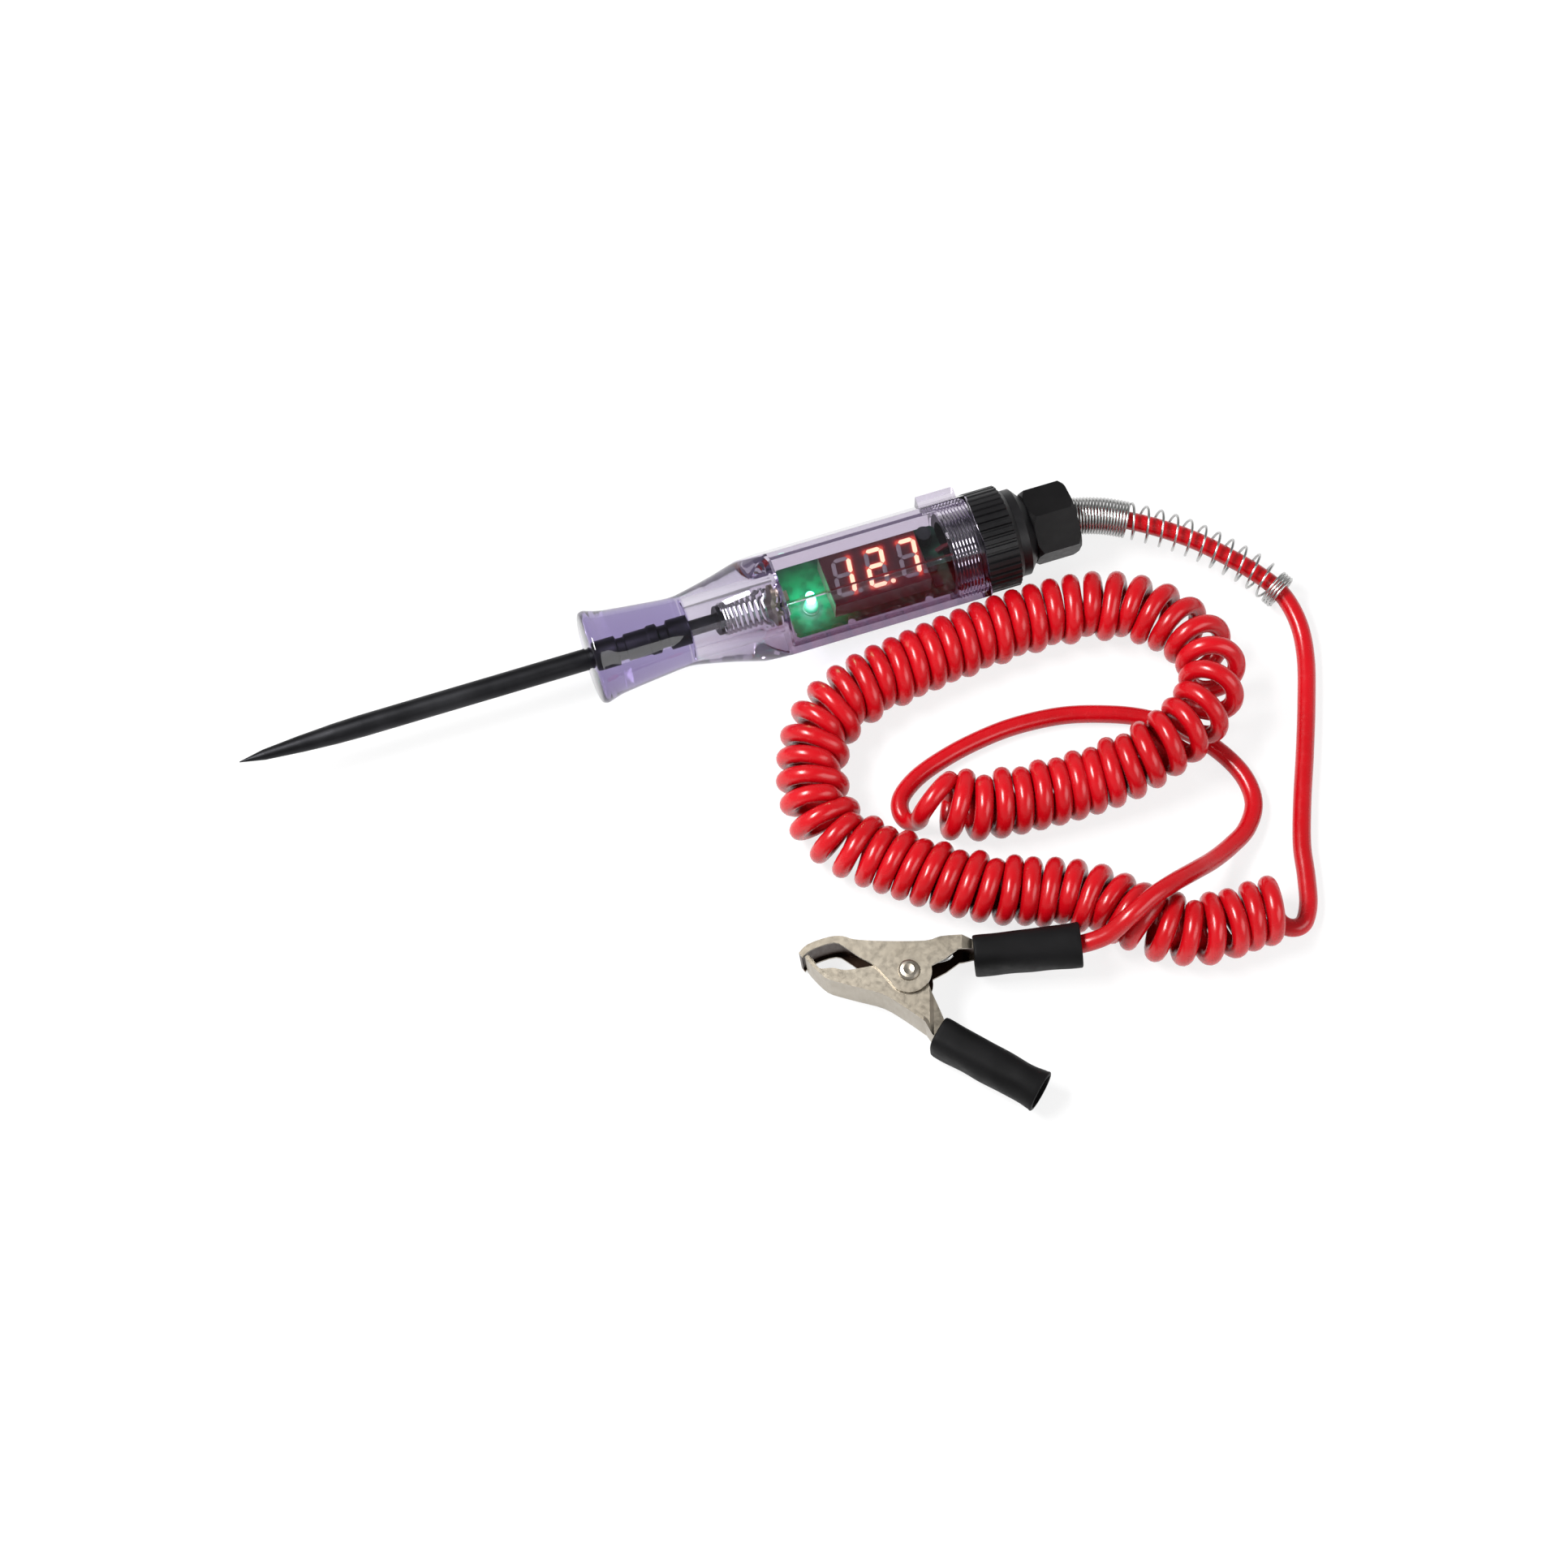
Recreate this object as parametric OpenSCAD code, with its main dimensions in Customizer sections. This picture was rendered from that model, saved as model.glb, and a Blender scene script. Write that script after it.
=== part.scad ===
// Automotive circuit tester: a pointed probe in a clear hexagonal handle with a
// lit voltage display, a coiled lead and a sprung ground clip.
// The tester lies along X with the probe tip at -X, on one flat of its hexagon.
// The floor is z = 0. Stations run from the probe tip to the back of the nut.

/* [Probe] */
// Length of the bare probe in front of the handle
probe_l = 74.9; // [50:0.1:110]
// Diameter of the probe shaft
probe_d = 4.6; // [3.6:0.1:5]
// Length of the tapered point
point_l = 26; // [15:0.5:40]
// Length of the root that the handle is moulded round
root_l = 21.3; // [20:0.1:23]
// Step from the shaft down to its root
root_step = 0.2; // [0.2:0.05:0.4]
// Diameter of the contact rod behind the root
rod_d = 3.4; // [2:0.1:3.4]
// Diameter of the collar that carries the spring
collar_d = 6.4; // [6:0.1:7.4]

/* [Handle] */
// Width of the hexagonal barrel across its flats
hex_af = 21.7; // [21.3:0.1:26]
// Diameter of the flared lip at the front
lip_d = 19.8; // [16:0.1:22]
// Diameter of the finger grip behind the lip
grip_d = 17.1; // [15:0.1:19]
// Diameter of the waist
waist_d = 14.9; // [12:0.1:16]
// Diameter of the swell in front of the barrel
swell_d = 18.5; // [16:0.1:20]
// Length of the nose in front of the display chamber
nose_l = 40.8; // [39:0.1:48]
// Length of the display chamber
chamber_l = 36.7; // [34:0.1:50]
// Bore of the nose that houses the contact spring
neck_bore = 9; // [8.4:0.1:10]
// Wall of the barrel
barrel_wall = 2; // [1.2:0.1:2.1]
// Length of the side lug
lug_l = 8.3; // [4:0.1:12]
// Height of the side lug above the barrel's corner
lug_h = 1.1; // [0.5:0.1:2]

/* [Contact spring] */
// Outer diameter of the contact spring
contact_d = 7.5; // [7:0.1:7.6]
// Wire of the contact spring
contact_wire = 0.6; // [0.4:0.05:0.8]
// Turns of the contact spring
contact_turns = 9; // [6:1:11]
// Thickness of the contact cup's disc
cup_t = 0.8; // [0.5:0.1:1.2]

/* [Board] */
// Gap between the chamber's front wall and the circuit board
board_gap = 1.6; // [1:0.1:2]
// Width of the circuit board
board_w = 16.6; // [15:0.1:16.8]
// Thickness of the circuit board
board_t = 1.6; // [1:0.1:1.8]
// Height of the board's top above the tester's axis
board_top = 0.6; // [-1:0.1:0.8]
// Length of the display
display_l = 21; // [20.6:0.1:22.4]
// Width of the display
display_w = 10.4; // [9:0.1:10.8]
// Height of the display above the board
display_h = 7; // [5:0.1:7.4]
// Length of the board's tail behind the display
tail_l = 5.2; // [4.8:0.1:6.4]
// Height of a digit
digit_h = 7.8; // [5:0.1:8.2]
// Width of a digit
digit_w = 4.2; // [3:0.1:4.8]
// Distance between digits
digit_pitch = 7.1; // [6:0.1:7.6]
// Width of a segment
segment_w = 0.9; // [0.5:0.05:1.1]
// Slant of the digits
digit_slant = 8; // [0:1:12]
// Diameter of the indicator lamp
led_d = 3; // [2:0.1:4]

/* [End cap] */
// Diameter of the cap's threaded front
thread_d = 17; // [15:0.1:17.2]
// Length of the cap's threaded front
thread_l = 6.5; // [4:0.1:7]
// Bore of the cap's threaded front
cap_bore = 13; // [10:0.1:14]
// Diameter of the cap's ribbed ring
ring_d = 21.7; // [19:0.1:21.7]
// Length of the cap's ribbed ring
ring_l = 8.1; // [5:0.1:12]
// Number of grip ribs round the ring
rib_count = 40; // [20:2:48]
// Depth of the grooves between the ribs
rib_depth = 0.45; // [0.2:0.05:0.6]
// Diameter of the cap's second step
step_d = 18.6; // [15:0.1:19]
// Length of the cap's second step
step_l = 3.9; // [3:0.1:6]
// Diameter of the stub that carries the gland nut
stub_d = 9.6; // [9:0.1:10.4]
// Length of the stub
stub_l = 4.9; // [4.5:0.1:5]

/* [Gland] */
// Width of the gland nut across its corners
nut_ac = 16.6; // [14:0.1:18]
// Length of the gland nut
nut_l = 9.5; // [9.2:0.1:14]
// Thickness of the web inside the nut
web_t = 1.2; // [0.8:0.1:2]
// Diameter of the rubber cord clamp
clamp_d = 7.6; // [6.4:0.1:8]
// Length of the rubber cord clamp
clamp_l = 4.2; // [3:0.1:4.4]
// Outer diameter of the strain relief spring
relief_d = 7.9; // [7.2:0.1:8.4]
// Wire of the strain relief spring
relief_wire = 0.56; // [0.4:0.02:0.62]
// Turns that lie closed next to the nut
relief_closed = 22; // [16:1:24]
// Turns that stand open
relief_open = 11; // [7:1:12]
// Turns that lie closed at the free end
relief_end = 3.5; // [2:0.5:4]

/* [Lead] */
// Diameter of the lead
cord_d = 3.8; // [3:0.1:4]
// Outer diameter of the coiled stretch
coil_d = 13.5; // [11:0.1:13.5]

/* [Clip] */
// Width of the clip's outer jaw
jaw_w = 11; // [10.4:0.1:12]
// Thickness of the jaws' sheet
jaw_t = 0.7; // [0.5:0.05:0.9]
// Side play between the two jaws
jaw_play = 0.2; // [0.15:0.05:0.3]
// Width of the upper jaw's grip inside its sleeve
upper_grip_w = 9; // [8:0.1:9.2]
// Width of the lower jaw's grip inside its sleeve
lower_grip_w = 8; // [7:0.1:8.2]
// Length of the grips inside the sleeves
grip_l = 15; // [10:0.5:17]
// Diameter of the rivet
rivet_d = 3; // [2.4:0.1:3.2]
// Play between the rivet and the lower jaw
rivet_play = 0.05; // [0.02:0.01:0.09]
// Diameter of the rivet's heads
head_d = 4.4; // [4:0.1:5.4]
// Height of the rivet's heads
head_h = 0.9; // [0.5:0.1:0.9]
// Radius of the jaws' ears round the rivet
ear_r = 4.6; // [4:0.1:5]
// Wire of the clip's spring
clip_wire = 0.8; // [0.6:0.05:0.9]
// Turns of the clip's spring
clip_turns = 4; // [3:1:5]

/* [Sleeves] */
// Length of the upper sleeve
upper_sleeve_l = 21.6; // [18:0.1:24]
// Length of the lower sleeve
lower_sleeve_l = 23.4; // [18:0.1:26]
// Wall of the sleeves
sleeve_t = 0.75; // [0.5:0.05:0.8]

/* [Hidden] */
$fn = 64;
fit = 0.02;
eps = 0.01;

// Stations along the tester
handle_at = probe_l;
neck_at = probe_l + root_l;
chamber_at = handle_at + nose_l;
bore_at = chamber_at + chamber_l;
thread_at = bore_at + 0.3;
thread_play = 0.2;
handle_end = thread_at + thread_l;
handle_l = handle_end - handle_at;
ring_end = handle_end + ring_l;
step_end = ring_end + step_l;
stub_end = step_end + stub_l;
nut_at = step_end;
tester_l = nut_at + nut_l;
axis_z = hex_af / 2;
exit = [tester_l / 2, 0, axis_z];

// Inside the barrel, measured from the axis
chamber_af = hex_af - 2 * barrel_wall;
cup_at = chamber_at - 0.6 - cup_t;
board_at = chamber_at + board_gap;
board_end = bore_at - 0.1;
board_l = board_end - board_at;
display_end = board_end - tail_l;
display_at = display_end - display_l;
face_z = board_top + display_h;

// Clip, in its own frame: the rivet stands on Z and the nose points to -X
clip_tilt = 7;
clip_yaw = -19;
clip_lean = [0.883, -0.469, 0];
clip_at = [24.7, -86.7, jaw_w / 2 * cos(clip_tilt) + 1.2];
upper_at = [12.9, 4.3];
upper_angle = 5.9;
lower_at = [5.7, -12.2];
lower_angle = -29.9;
upper_web = 1.7;
lower_web = 1.2;
grip_edge = 1.3;
inner_jaw_w = jaw_w - 2 * jaw_t - 2 * jaw_play;

// Routes of the lead, chosen by hand. The first points are measured from the exit.
out_near = [[-13.4, 0, 0], [-6, 0, 0], [0, 0, 0], [6.6, -2, -0.2], [12.6, -5, -0.9], [18.6, -8.5, -2],
            [24.1, -12.3, -3.4], [29.1, -16.8, -4.8], [34, -22, -6.1], [37.6, -28, -6.85]];
out_far = [[129.2, -35, 2.6], [127.8, -43, 1.9], [124, -53, 1.9], [119.5, -63.5, 1.9],
           [115, -73.5, 1.9], [111.4, -82.5, 1.9], [109.6, -89.5, 1.9], [107.6, -95.6, 1.9],
           [104.8, -99.4, 1.9], [101.4, -100.2, 1.9], [99, -97.4, 1.9]];
coil_route = [[102.6, -96.2, 6.8], [94, -96, 6.8], [85, -96.2, 6.8], [76.4, -92.8, 6.8],
              [70.8, -86.8, 6.8], [65.4, -81.8, 6.8], [57.8, -78, 6.8], [48, -74.6, 6.8],
              [38.5, -68.8, 6.8], [29.5, -61.6, 6.8], [23, -55.8, 6.8], [19.3, -49.5, 6.8],
              [19, -42.5, 6.8], [21, -35.2, 6.8], [24.8, -28.8, 6.8], [31, -24.3, 6.8],
              [39, -21.9, 6.8], [50, -20.4, 6.8], [61, -19.1, 6.8], [72, -18.4, 6.8],
              [83, -18.6, 6.8], [91.5, -20.3, 6.8], [98.6, -24.2, 6.8], [103.6, -29.8, 7],
              [106.2, -36, 8], [106.2, -42.4, 9.6], [103.2, -48.4, 10.8], [97.5, -53.2, 11],
              [90, -56.2, 10.6], [81.5, -57.6, 8.4], [72.5, -57.6, 6.9], [62, -57.2, 6.8],
              [51.5, -56, 6.8], [45.2, -53.8, 6.8], [41.8, -50.6, 6.8]];
loop_route = [[43.4, -57.4, 3.4], [41.2, -57.6, 2.3], [38.8, -55.9, 1.9], [36.6, -52.8, 1.9],
              [35.8, -49.4, 1.9], [37.2, -46.3, 1.9], [41.5, -43.3, 1.9], [47.5, -41.1, 1.9],
              [55, -39.4, 1.9], [64, -38.5, 1.9], [74, -39.2, 1.9], [82.5, -41.5, 1.9],
              [90.4, -45, 1.9], [97.5, -50.4, 1.9], [102.6, -56.8, 1.9], [105.6, -64, 1.9],
              [105.4, -70.6, 2], [101.8, -75.8, 2.7], [96.8, -79.2, 4.6], [91.4, -82.2, 7.6],
              [86, -84.7, 11.2], [80.4, -87, 14.3], [74.8, -89.2, 15.9], [69.4, -91.4, 15.2],
              [64.4, -92.6, 12], [59.2, -91.9, 9.6], [53.4, -90.7, 9]];

// Catmull-Rom curve through the points, n steps between each pair
function spline_at(p, i, t) =
    let (a = p[max(i - 1, 0)], b = p[i], c = p[i + 1], d = p[min(i + 2, len(p) - 1)])
    0.5 * (2 * b + (c - a) * t + (2 * a - 5 * b + 4 * c - d) * t * t
           + (3 * b - a - 3 * c + d) * t * t * t);
function spline(p, n) =
    [for (i = [0 : len(p) - 2]) for (k = [0 : n - 1]) spline_at(p, i, k / n), p[len(p) - 1]];

function unit(v) = v / norm(v);
function heading(p, i) = unit(p[min(i + 1, len(p) - 1)] - p[max(i - 1, 0)]);
function side_of(t) = unit(cross([0, 0, 1], t));
function ring(p, u, v, r, n) = [for (k = [0 : n - 1])
    p + r * cos(360 * k / n) * u + r * sin(360 * k / n) * v];

// Rings of a round tube along the points p
function tube_rings(p, r, n) = [for (i = [0 : len(p) - 1])
    let (t = heading(p, i), u = side_of(t)) ring(p[i], u, cross(t, u), r, n)];

function joined(rings) = [for (r = rings) each r];
function band(i, j, n) = [for (k = [0 : n - 1])
    let (l = (k + 1) % n) each [[i * n + k, j * n + k, j * n + l], [i * n + k, j * n + l, i * n + l]]];

// Solid through a row of rings, with flat ends
module loft(rings) {
    n = len(rings[0]);
    m = len(rings);
    polyhedron(points = joined(rings), faces = concat(
        [[for (k = [0 : n - 1]) k]],
        [for (i = [0 : m - 2]) each band(i, i + 1, n)],
        [[for (k = [n - 1 : -1 : 0]) (m - 1) * n + k]]));
}

// Solid whose last ring meets its first one
module loft_closed(rings) {
    n = len(rings[0]);
    m = len(rings);
    polyhedron(points = joined(rings), faces = [for (i = [0 : m - 1]) each band(i, (i + 1) % m, n)]);
}

module cord(p, d, n) {
    loft(tube_rings(p, d / 2, n));
}

// Wire wound round the centre line p at the radius r, as [turn, place along p] pairs in w
function place_on(p, s) =
    let (i = min(floor(s), len(p) - 2)) p[i] + (p[i + 1] - p[i]) * (s - i);
function heading_on(p, s) =
    let (i = min(floor(s), len(p) - 2)) unit(p[i + 1] - p[i]);
function wound(p, r, w) = [for (q = w)
    let (t = heading_on(p, q[1]), u = side_of(t), v = cross(t, u))
    place_on(p, q[1]) + r * cos(360 * q[0]) * u + r * sin(360 * q[0]) * v];
function wound_rings(p, r, w, wire, n) =
    let (h = wound(p, r, w))
    [for (i = [0 : len(h) - 1])
        let (t = heading(h, i), u = unit(h[i] - place_on(p, w[i][1])), v = unit(cross(t, u)))
        ring(h[i], cross(v, t), v, wire / 2, n)];

// Turns the station axis Z onto X, with the tip at the left end
module along_tester() {
    translate([-tester_l / 2, 0, axis_z]) rotate([0, 90, 0]) children();
}

// Upright frame on the tester's axis: X runs by station, Y and Z as in the world
module on_axis(station = 0) {
    translate([station - tester_l / 2, 0, axis_z]) children();
}

module turned(profile) {
    rotate_extrude() polygon(profile);
}

module hexagon(af, from, to) {
    translate([0, 0, from]) rotate(30) cylinder(d = af / cos(30), h = to - from, $fn = 6);
}

// Probe: [radius, station] of the shaft, the root with its grooves, and the rod
rod_end = neck_at + 9.6;
collar_at = neck_at + 6.9;
collar_t = 0.8;
root_at = handle_at - 0.5;
function root(play) = let (r = probe_d / 2 - root_step + play, z = handle_at)
    [[r, root_at], [r, z + 5.3], [r - 0.5, z + 5.6], [r - 0.5, z + 7.2], [r - 0.2, z + 7.5],
     [r - 0.2, z + 12.2], [r, z + 12.6], [r, z + 14.4], [r - 0.5, z + 14.8],
     [r - 0.5, z + 16.4], [r, z + 16.8], [r, neck_at]];

module probe() {
    r = probe_d / 2;
    color("dimgray") along_tester() {
        turned(concat(
            [[0, 0], [0.1, 0], [r * 0.48, point_l * 0.2], [r * 0.76, point_l / 2],
             [r * 0.935, point_l * 0.77], [r, point_l], [r, root_at]],
            root(0),
            [[rod_d / 2, neck_at], [rod_d / 2, collar_at], [collar_d / 2, collar_at],
             [collar_d / 2, collar_at + collar_t], [rod_d / 2, collar_at + collar_t],
             [rod_d / 2, rod_end - 0.4], [rod_d / 2 - 0.4, rod_end], [0, rod_end]]));
    }
}

// Handle: outer line as [radius, distance behind the front face]
function handle_line() = concat(
    spline([[lip_d / 2 - 1.2, 0], [lip_d / 2 - 0.35, 0.3], [lip_d / 2, 1.2], [lip_d / 2 - 0.3, 2.4],
            [grip_d / 2 + 0.45, 4.6], [grip_d / 2, 8], [waist_d / 2 + 0.45, 14], [waist_d / 2, 19.4],
            [waist_d / 2 + 0.5, 23], [swell_d / 2, 29]], 3),
    [[hex_af / 2 / cos(30) + 0.3, nose_l + 1.4], [hex_af / 2 / cos(30) + 0.3, handle_l]]);

module handle() {
    color("lavender", 0.4) along_tester() difference() {
        union() {
            intersection() {
                translate([0, 0, handle_at])
                    turned(concat([[0, 0]], handle_line(), [[0, handle_l]]));
                hexagon(hex_af, handle_at - 1, handle_end);
            }
            translate([-2, hex_af / 2 / cos(30) - 1.6, handle_end - lug_l])
                cube([4, 1.6 + lug_h, lug_l]);
        }
        turned(concat([[0, root_at]], root(fit), [[0, neck_at]]));
        translate([0, 0, neck_at - eps]) cylinder(d = neck_bore, h = chamber_at - neck_at + 1);
        hexagon(chamber_af, chamber_at, bore_at);
        translate([0, 0, bore_at - eps])
            cylinder(d = thread_d + 2 * thread_play, h = handle_end - bore_at + 1);
    }
}

module contact_spring() {
    from = collar_at + collar_t + contact_wire / 2 + 0.1;
    to = cup_at - contact_wire / 2 - 0.1;
    line = [for (s = [from, to]) [s - tester_l / 2, 0, axis_z]];
    steps = 12;
    winding = [for (i = [0 : contact_turns * steps])
        let (f = i / (contact_turns * steps)) [i / steps, pow(f, 1.25)]];
    color("silver") loft(wound_rings(line, contact_d / 2 - contact_wire / 2, winding, contact_wire, 6));
}

module contact_cup() {
    tongue_w = 2.4;
    color("goldenrod") union() {
        on_axis(cup_at) rotate([0, 90, 0]) cylinder(d = contact_d, h = cup_t);
        on_axis(cup_at) translate([0, -tongue_w / 2, board_top])
            cube([board_at - cup_at + 0.9, tongue_w, cup_t]);
    }
}

module circuit_board() {
    color("darkgreen") on_axis(board_at)
        translate([0, -board_w / 2, board_top - board_t]) cube([board_l, board_w, board_t]);
}

module indicator_led() {
    lamp_at = board_at + 0.55 * (display_at - board_at);
    color("lime") on_axis(lamp_at) translate([0, -0.8, board_top]) union() {
        cylinder(d = led_d, h = led_d * 0.6);
        translate([0, 0, led_d * 0.6]) sphere(d = led_d);
        cylinder(d = led_d + 0.5, h = 0.7);
    }
}

module display_case() {
    color("maroon") on_axis(display_at)
        translate([0, -display_w / 2, board_top]) cube([display_l, display_w, display_h]);
}

// One bar of a digit, with pointed ends
module bar(length) {
    w = segment_w / 2;
    l = length / 2 - 0.12;
    polygon([[-l, 0], [-l + w, w], [l - w, w], [l, 0], [l - w, -w], [-l + w, -w]]);
}

// Bars a to g and the point of a digit, by index 0 to 7
module segment(k) {
    w = digit_w - segment_w;
    h = (digit_h - segment_w) / 2;
    shift = tan(digit_slant);
    places = [[0, h, 0], [w / 2, h / 2, 90], [w / 2, -h / 2, 90], [0, -h, 0],
              [-w / 2, -h / 2, 90], [-w / 2, h / 2, 90], [0, 0, 0]];
    if (k < 7)
        translate([places[k][0] + places[k][1] * shift, places[k][1]])
            rotate(places[k][2] == 0 ? 0 : 90 - digit_slant) bar(k % 3 == 0 ? w : h);
    else
        translate([digit_w / 2 + 0.75 - h * shift, -h]) circle(d = 1.1 * segment_w);
}

// Which bars shine in each digit
lit = [[1, 2], [0, 1, 3, 4, 6, 7], [0, 1, 2]];
function is_lit(digit, k) = len([for (s = lit[digit]) if (s == k) s]) > 0;

module segments(shining) {
    relief = 0.12;
    on_axis(display_at + display_l / 2) translate([0, 0, face_z])
        for (digit = [0 : 2]) for (k = [0 : 7])
            if (is_lit(digit, k) == shining)
                translate([(digit - 1) * digit_pitch + 0.4, 0, 0])
                    linear_extrude(relief) segment(k);
}

module lit_segments() {
    color("mistyrose") segments(true);
}

module dark_segments() {
    color("dimgray") segments(false);
}

module controller_chip() {
    chip = [12, 7.5, 1.6];
    color("black") on_axis(board_at + 11)
        translate([0, -chip[1] / 2, board_top - board_t - chip[2]]) cube(chip);
}

module resistors() {
    size = [1.6, 2.6, 0.8];
    color("sienna") on_axis(display_end + 1) translate([0, 0, board_top])
        for (y = [-5.6, -2]) translate([0, y - size[1] / 2, 0]) cube(size);
}

module capacitor() {
    d = 3.2;
    color("steelblue") on_axis(display_end + 0.5 + d / 2) translate([0, 3.6, board_top])
        cylinder(d = d, h = 3.4);
}

// Sheathed wire from the board's tail to the lead, inside the cap
module inner_wire() {
    d = 1.2;
    start = board_end - 1.4;
    stop = exit[0] + out_near[0][0];
    line = concat(spline([[start - tester_l / 2, 0, axis_z + board_top + d / 2],
                          [start - tester_l / 2 + 3, 0.6, axis_z + board_top + 1],
                          [stop - 4, 0.6, axis_z + 0.5], [stop - 1, 0, axis_z]], 3), [[stop, 0, axis_z]]);
    color("firebrick") cord(line, d, 8);
}

// Grooved ring outline: shallow notches between flat ribs
function ribbed(d, n, depth) = [for (i = [0 : n - 1]) for (q = [[0, 0], [0.52, 0], [0.64, 1], [0.88, 1]])
    let (a = 360 * (i + q[0]) / n, r = d / 2 - q[1] * depth) [r * cos(a), r * sin(a)]];

module end_cap() {
    core = cord_d / 2 + 0.2;
    pocket_r = clamp_d / 2 + 0.2;
    collar_r = stub_d / 2 + 2.2;
    ring_core = ring_d / 2 - rib_depth - 0.15;
    chamfer = 1;
    color("darkslategray") along_tester() difference() {
        union() {
            translate([0, 0, thread_at]) cylinder(d = thread_d, h = thread_l + 1);
            translate([0, 0, handle_end]) linear_extrude(ring_l - chamfer)
                polygon(ribbed(ring_d, rib_count, rib_depth));
            turned([[0, handle_end + 1], [ring_core, handle_end + 1], [ring_core, ring_end - chamfer],
                    [step_d / 2 + 0.1, ring_end], [step_d / 2, ring_end], [step_d / 2, ring_end + 1.9],
                    [collar_r, step_end - 0.1], [collar_r, step_end], [0, step_end]]);
            translate([0, 0, step_end - 1]) cylinder(d = stub_d, h = stub_l + 1);
        }
        translate([0, 0, thread_at - 1]) cylinder(d = cap_bore, h = thread_l + 3.4);
        translate([0, 0, thread_at]) cylinder(r = core, h = stub_end - thread_at + 1);
        translate([0, 0, stub_end - clamp_l + 0.2]) cylinder(r = pocket_r, h = clamp_l);
    }
}

module cord_clamp() {
    color("black") along_tester() translate([0, 0, stub_end - clamp_l + 0.3]) difference() {
        cylinder(d = clamp_d, h = clamp_l);
        translate([0, 0, -1]) cylinder(d = cord_d + 0.1, h = clamp_l + 2);
    }
}

module gland_nut() {
    ac = nut_ac / 2;
    end_r = ac * 0.9;
    seat_at = stub_end + 0.5 + web_t;
    color("black") along_tester() difference() {
        intersection() {
            translate([0, 0, nut_at]) rotate(13) cylinder(r = ac, h = nut_l, $fn = 6);
            turned([[0, nut_at], [end_r, nut_at], [ac + 0.1, nut_at + 1.1],
                    [ac + 0.1, tester_l - 1.1], [end_r, tester_l], [0, tester_l]]);
        }
        translate([0, 0, nut_at - 1]) cylinder(d = stub_d + 0.4, h = stub_l + 1.5);
        translate([0, 0, nut_at]) cylinder(d = cord_d + 0.8, h = nut_l + 1);
        translate([0, 0, seat_at]) cylinder(d = relief_d + 0.4, h = nut_l);
    }
}

// Strain relief: closed turns, then open turns, then closed turns, along the lead's own bend
relief_seat = stub_end + 0.5 + web_t - tester_l + relief_wire / 2 + 0.3;
relief_line = spline(concat([[relief_seat, 0, 0] + exit],
                            [for (i = [2 : len(out_near) - 1]) out_near[i] + exit]), 10);

module relief_spring() {
    tight = relief_wire * 1.18;
    total = len(relief_line) - 1;
    line_l = line_length(relief_line);
    closed_l = relief_closed * tight;
    end_l = relief_end * tight;
    turns = relief_closed + relief_open + relief_end;
    steps = 12;
    winding = [for (i = [0 : turns * steps])
        let (a = i / steps,
             s = a <= relief_closed ? a * tight
               : a >= relief_closed + relief_open ? line_l - (turns - a) * tight
               : closed_l + (a - relief_closed) * (line_l - closed_l - end_l) / relief_open)
        [a, place_of(relief_line, s)]];
    color("silver") loft(wound_rings(relief_line, (relief_d - relief_wire) / 2, winding, relief_wire, 6));
}

function line_length(p) = running(p)[len(p) - 1];
function running(p, i = 0, sum = 0, out = []) = i >= len(p) ? out
    : let (s = sum + (i == 0 ? 0 : norm(p[i] - p[i - 1]))) running(p, i + 1, s, concat(out, [s]));
relief_run = running(relief_line);
function place_of(p, s, i = 0) = i >= len(p) - 2 || relief_run[i + 1] > s
    ? min(i + (s - relief_run[i]) / (relief_run[i + 1] - relief_run[i]), len(p) - 1)
    : place_of(p, s, i + 1);

module lead_out() {
    color("red") cord(concat([for (q = out_near) q + exit], out_far), cord_d, 10);
}

module coil() {
    color("red") cord(coil_route, coil_d, 12);
}

module lead_loop() {
    color("red") cord(loop_route, cord_d, 10);
}

// Clip outlines seen along the rivet. Each outer line runs from the nose to the grip.
module in_clip() {
    translate(clip_at) rotate([0, 0, clip_yaw]) rotate(a = clip_tilt, v = clip_lean) children();
}

function turn(p, a) = [p[0] * cos(a) - p[1] * sin(a), p[0] * sin(a) + p[1] * cos(a)];
function upper(x, y) = upper_at + turn([x, y], upper_angle);
function lower(x, y) = lower_at + turn([x, y], lower_angle);
function reversed(p) = [for (i = [len(p) - 1 : -1 : 0]) p[i]];
function arc(r, from, to, n) = [for (i = [0 : n]) let (a = from + (to - from) * i / n) r * [cos(a), sin(a)]];

// Line set off by t to its right, or to its left where t is negative
function offset_line(p, t) = [for (i = [0 : len(p) - 1])
    let (d = heading(p, i)) p[i] + t * [d[1], -d[0]]];

upper_outer = concat(
    spline([[-22, 3.8], [-20.2, 5.6], [-15.9, 7.1], [-13.2, 7.2], [-10.8, 6.5], [-5.2, 6.1],
            [3.2, 6.1], [6.4, 7], [10.6, 7.3]], 3),
    [upper(0, upper_web + 0.6), upper(1.5, upper_web), upper(grip_l, upper_web)]);
upper_lower = concat(
    [upper(grip_l, -grip_edge), upper(2, -grip_edge), upper(0.4, 0.4), [9.9, 4.4], [7.2, 2.4]],
    arc(ear_r, 12, -124, 12),
    spline([[-3.9, -2.1], [-6.8, 1], [-10, 2.9], [-12.5, 4.7], [-15, 5.9], [-19.4, 4.5], [-21.3, 2.9]], 3));
lower_outer = concat(
    spline([[-20.8, 3], [-19.6, 1.4], [-16.7, -1.4], [-13.3, -2.6], [-10.1, -3.5], [-5.3, -4.9],
            [-1.2, -7.4], [3.2, -10.6]], 3),
    [lower(-0.6, -lower_web), lower(grip_l, -lower_web)]);
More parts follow.
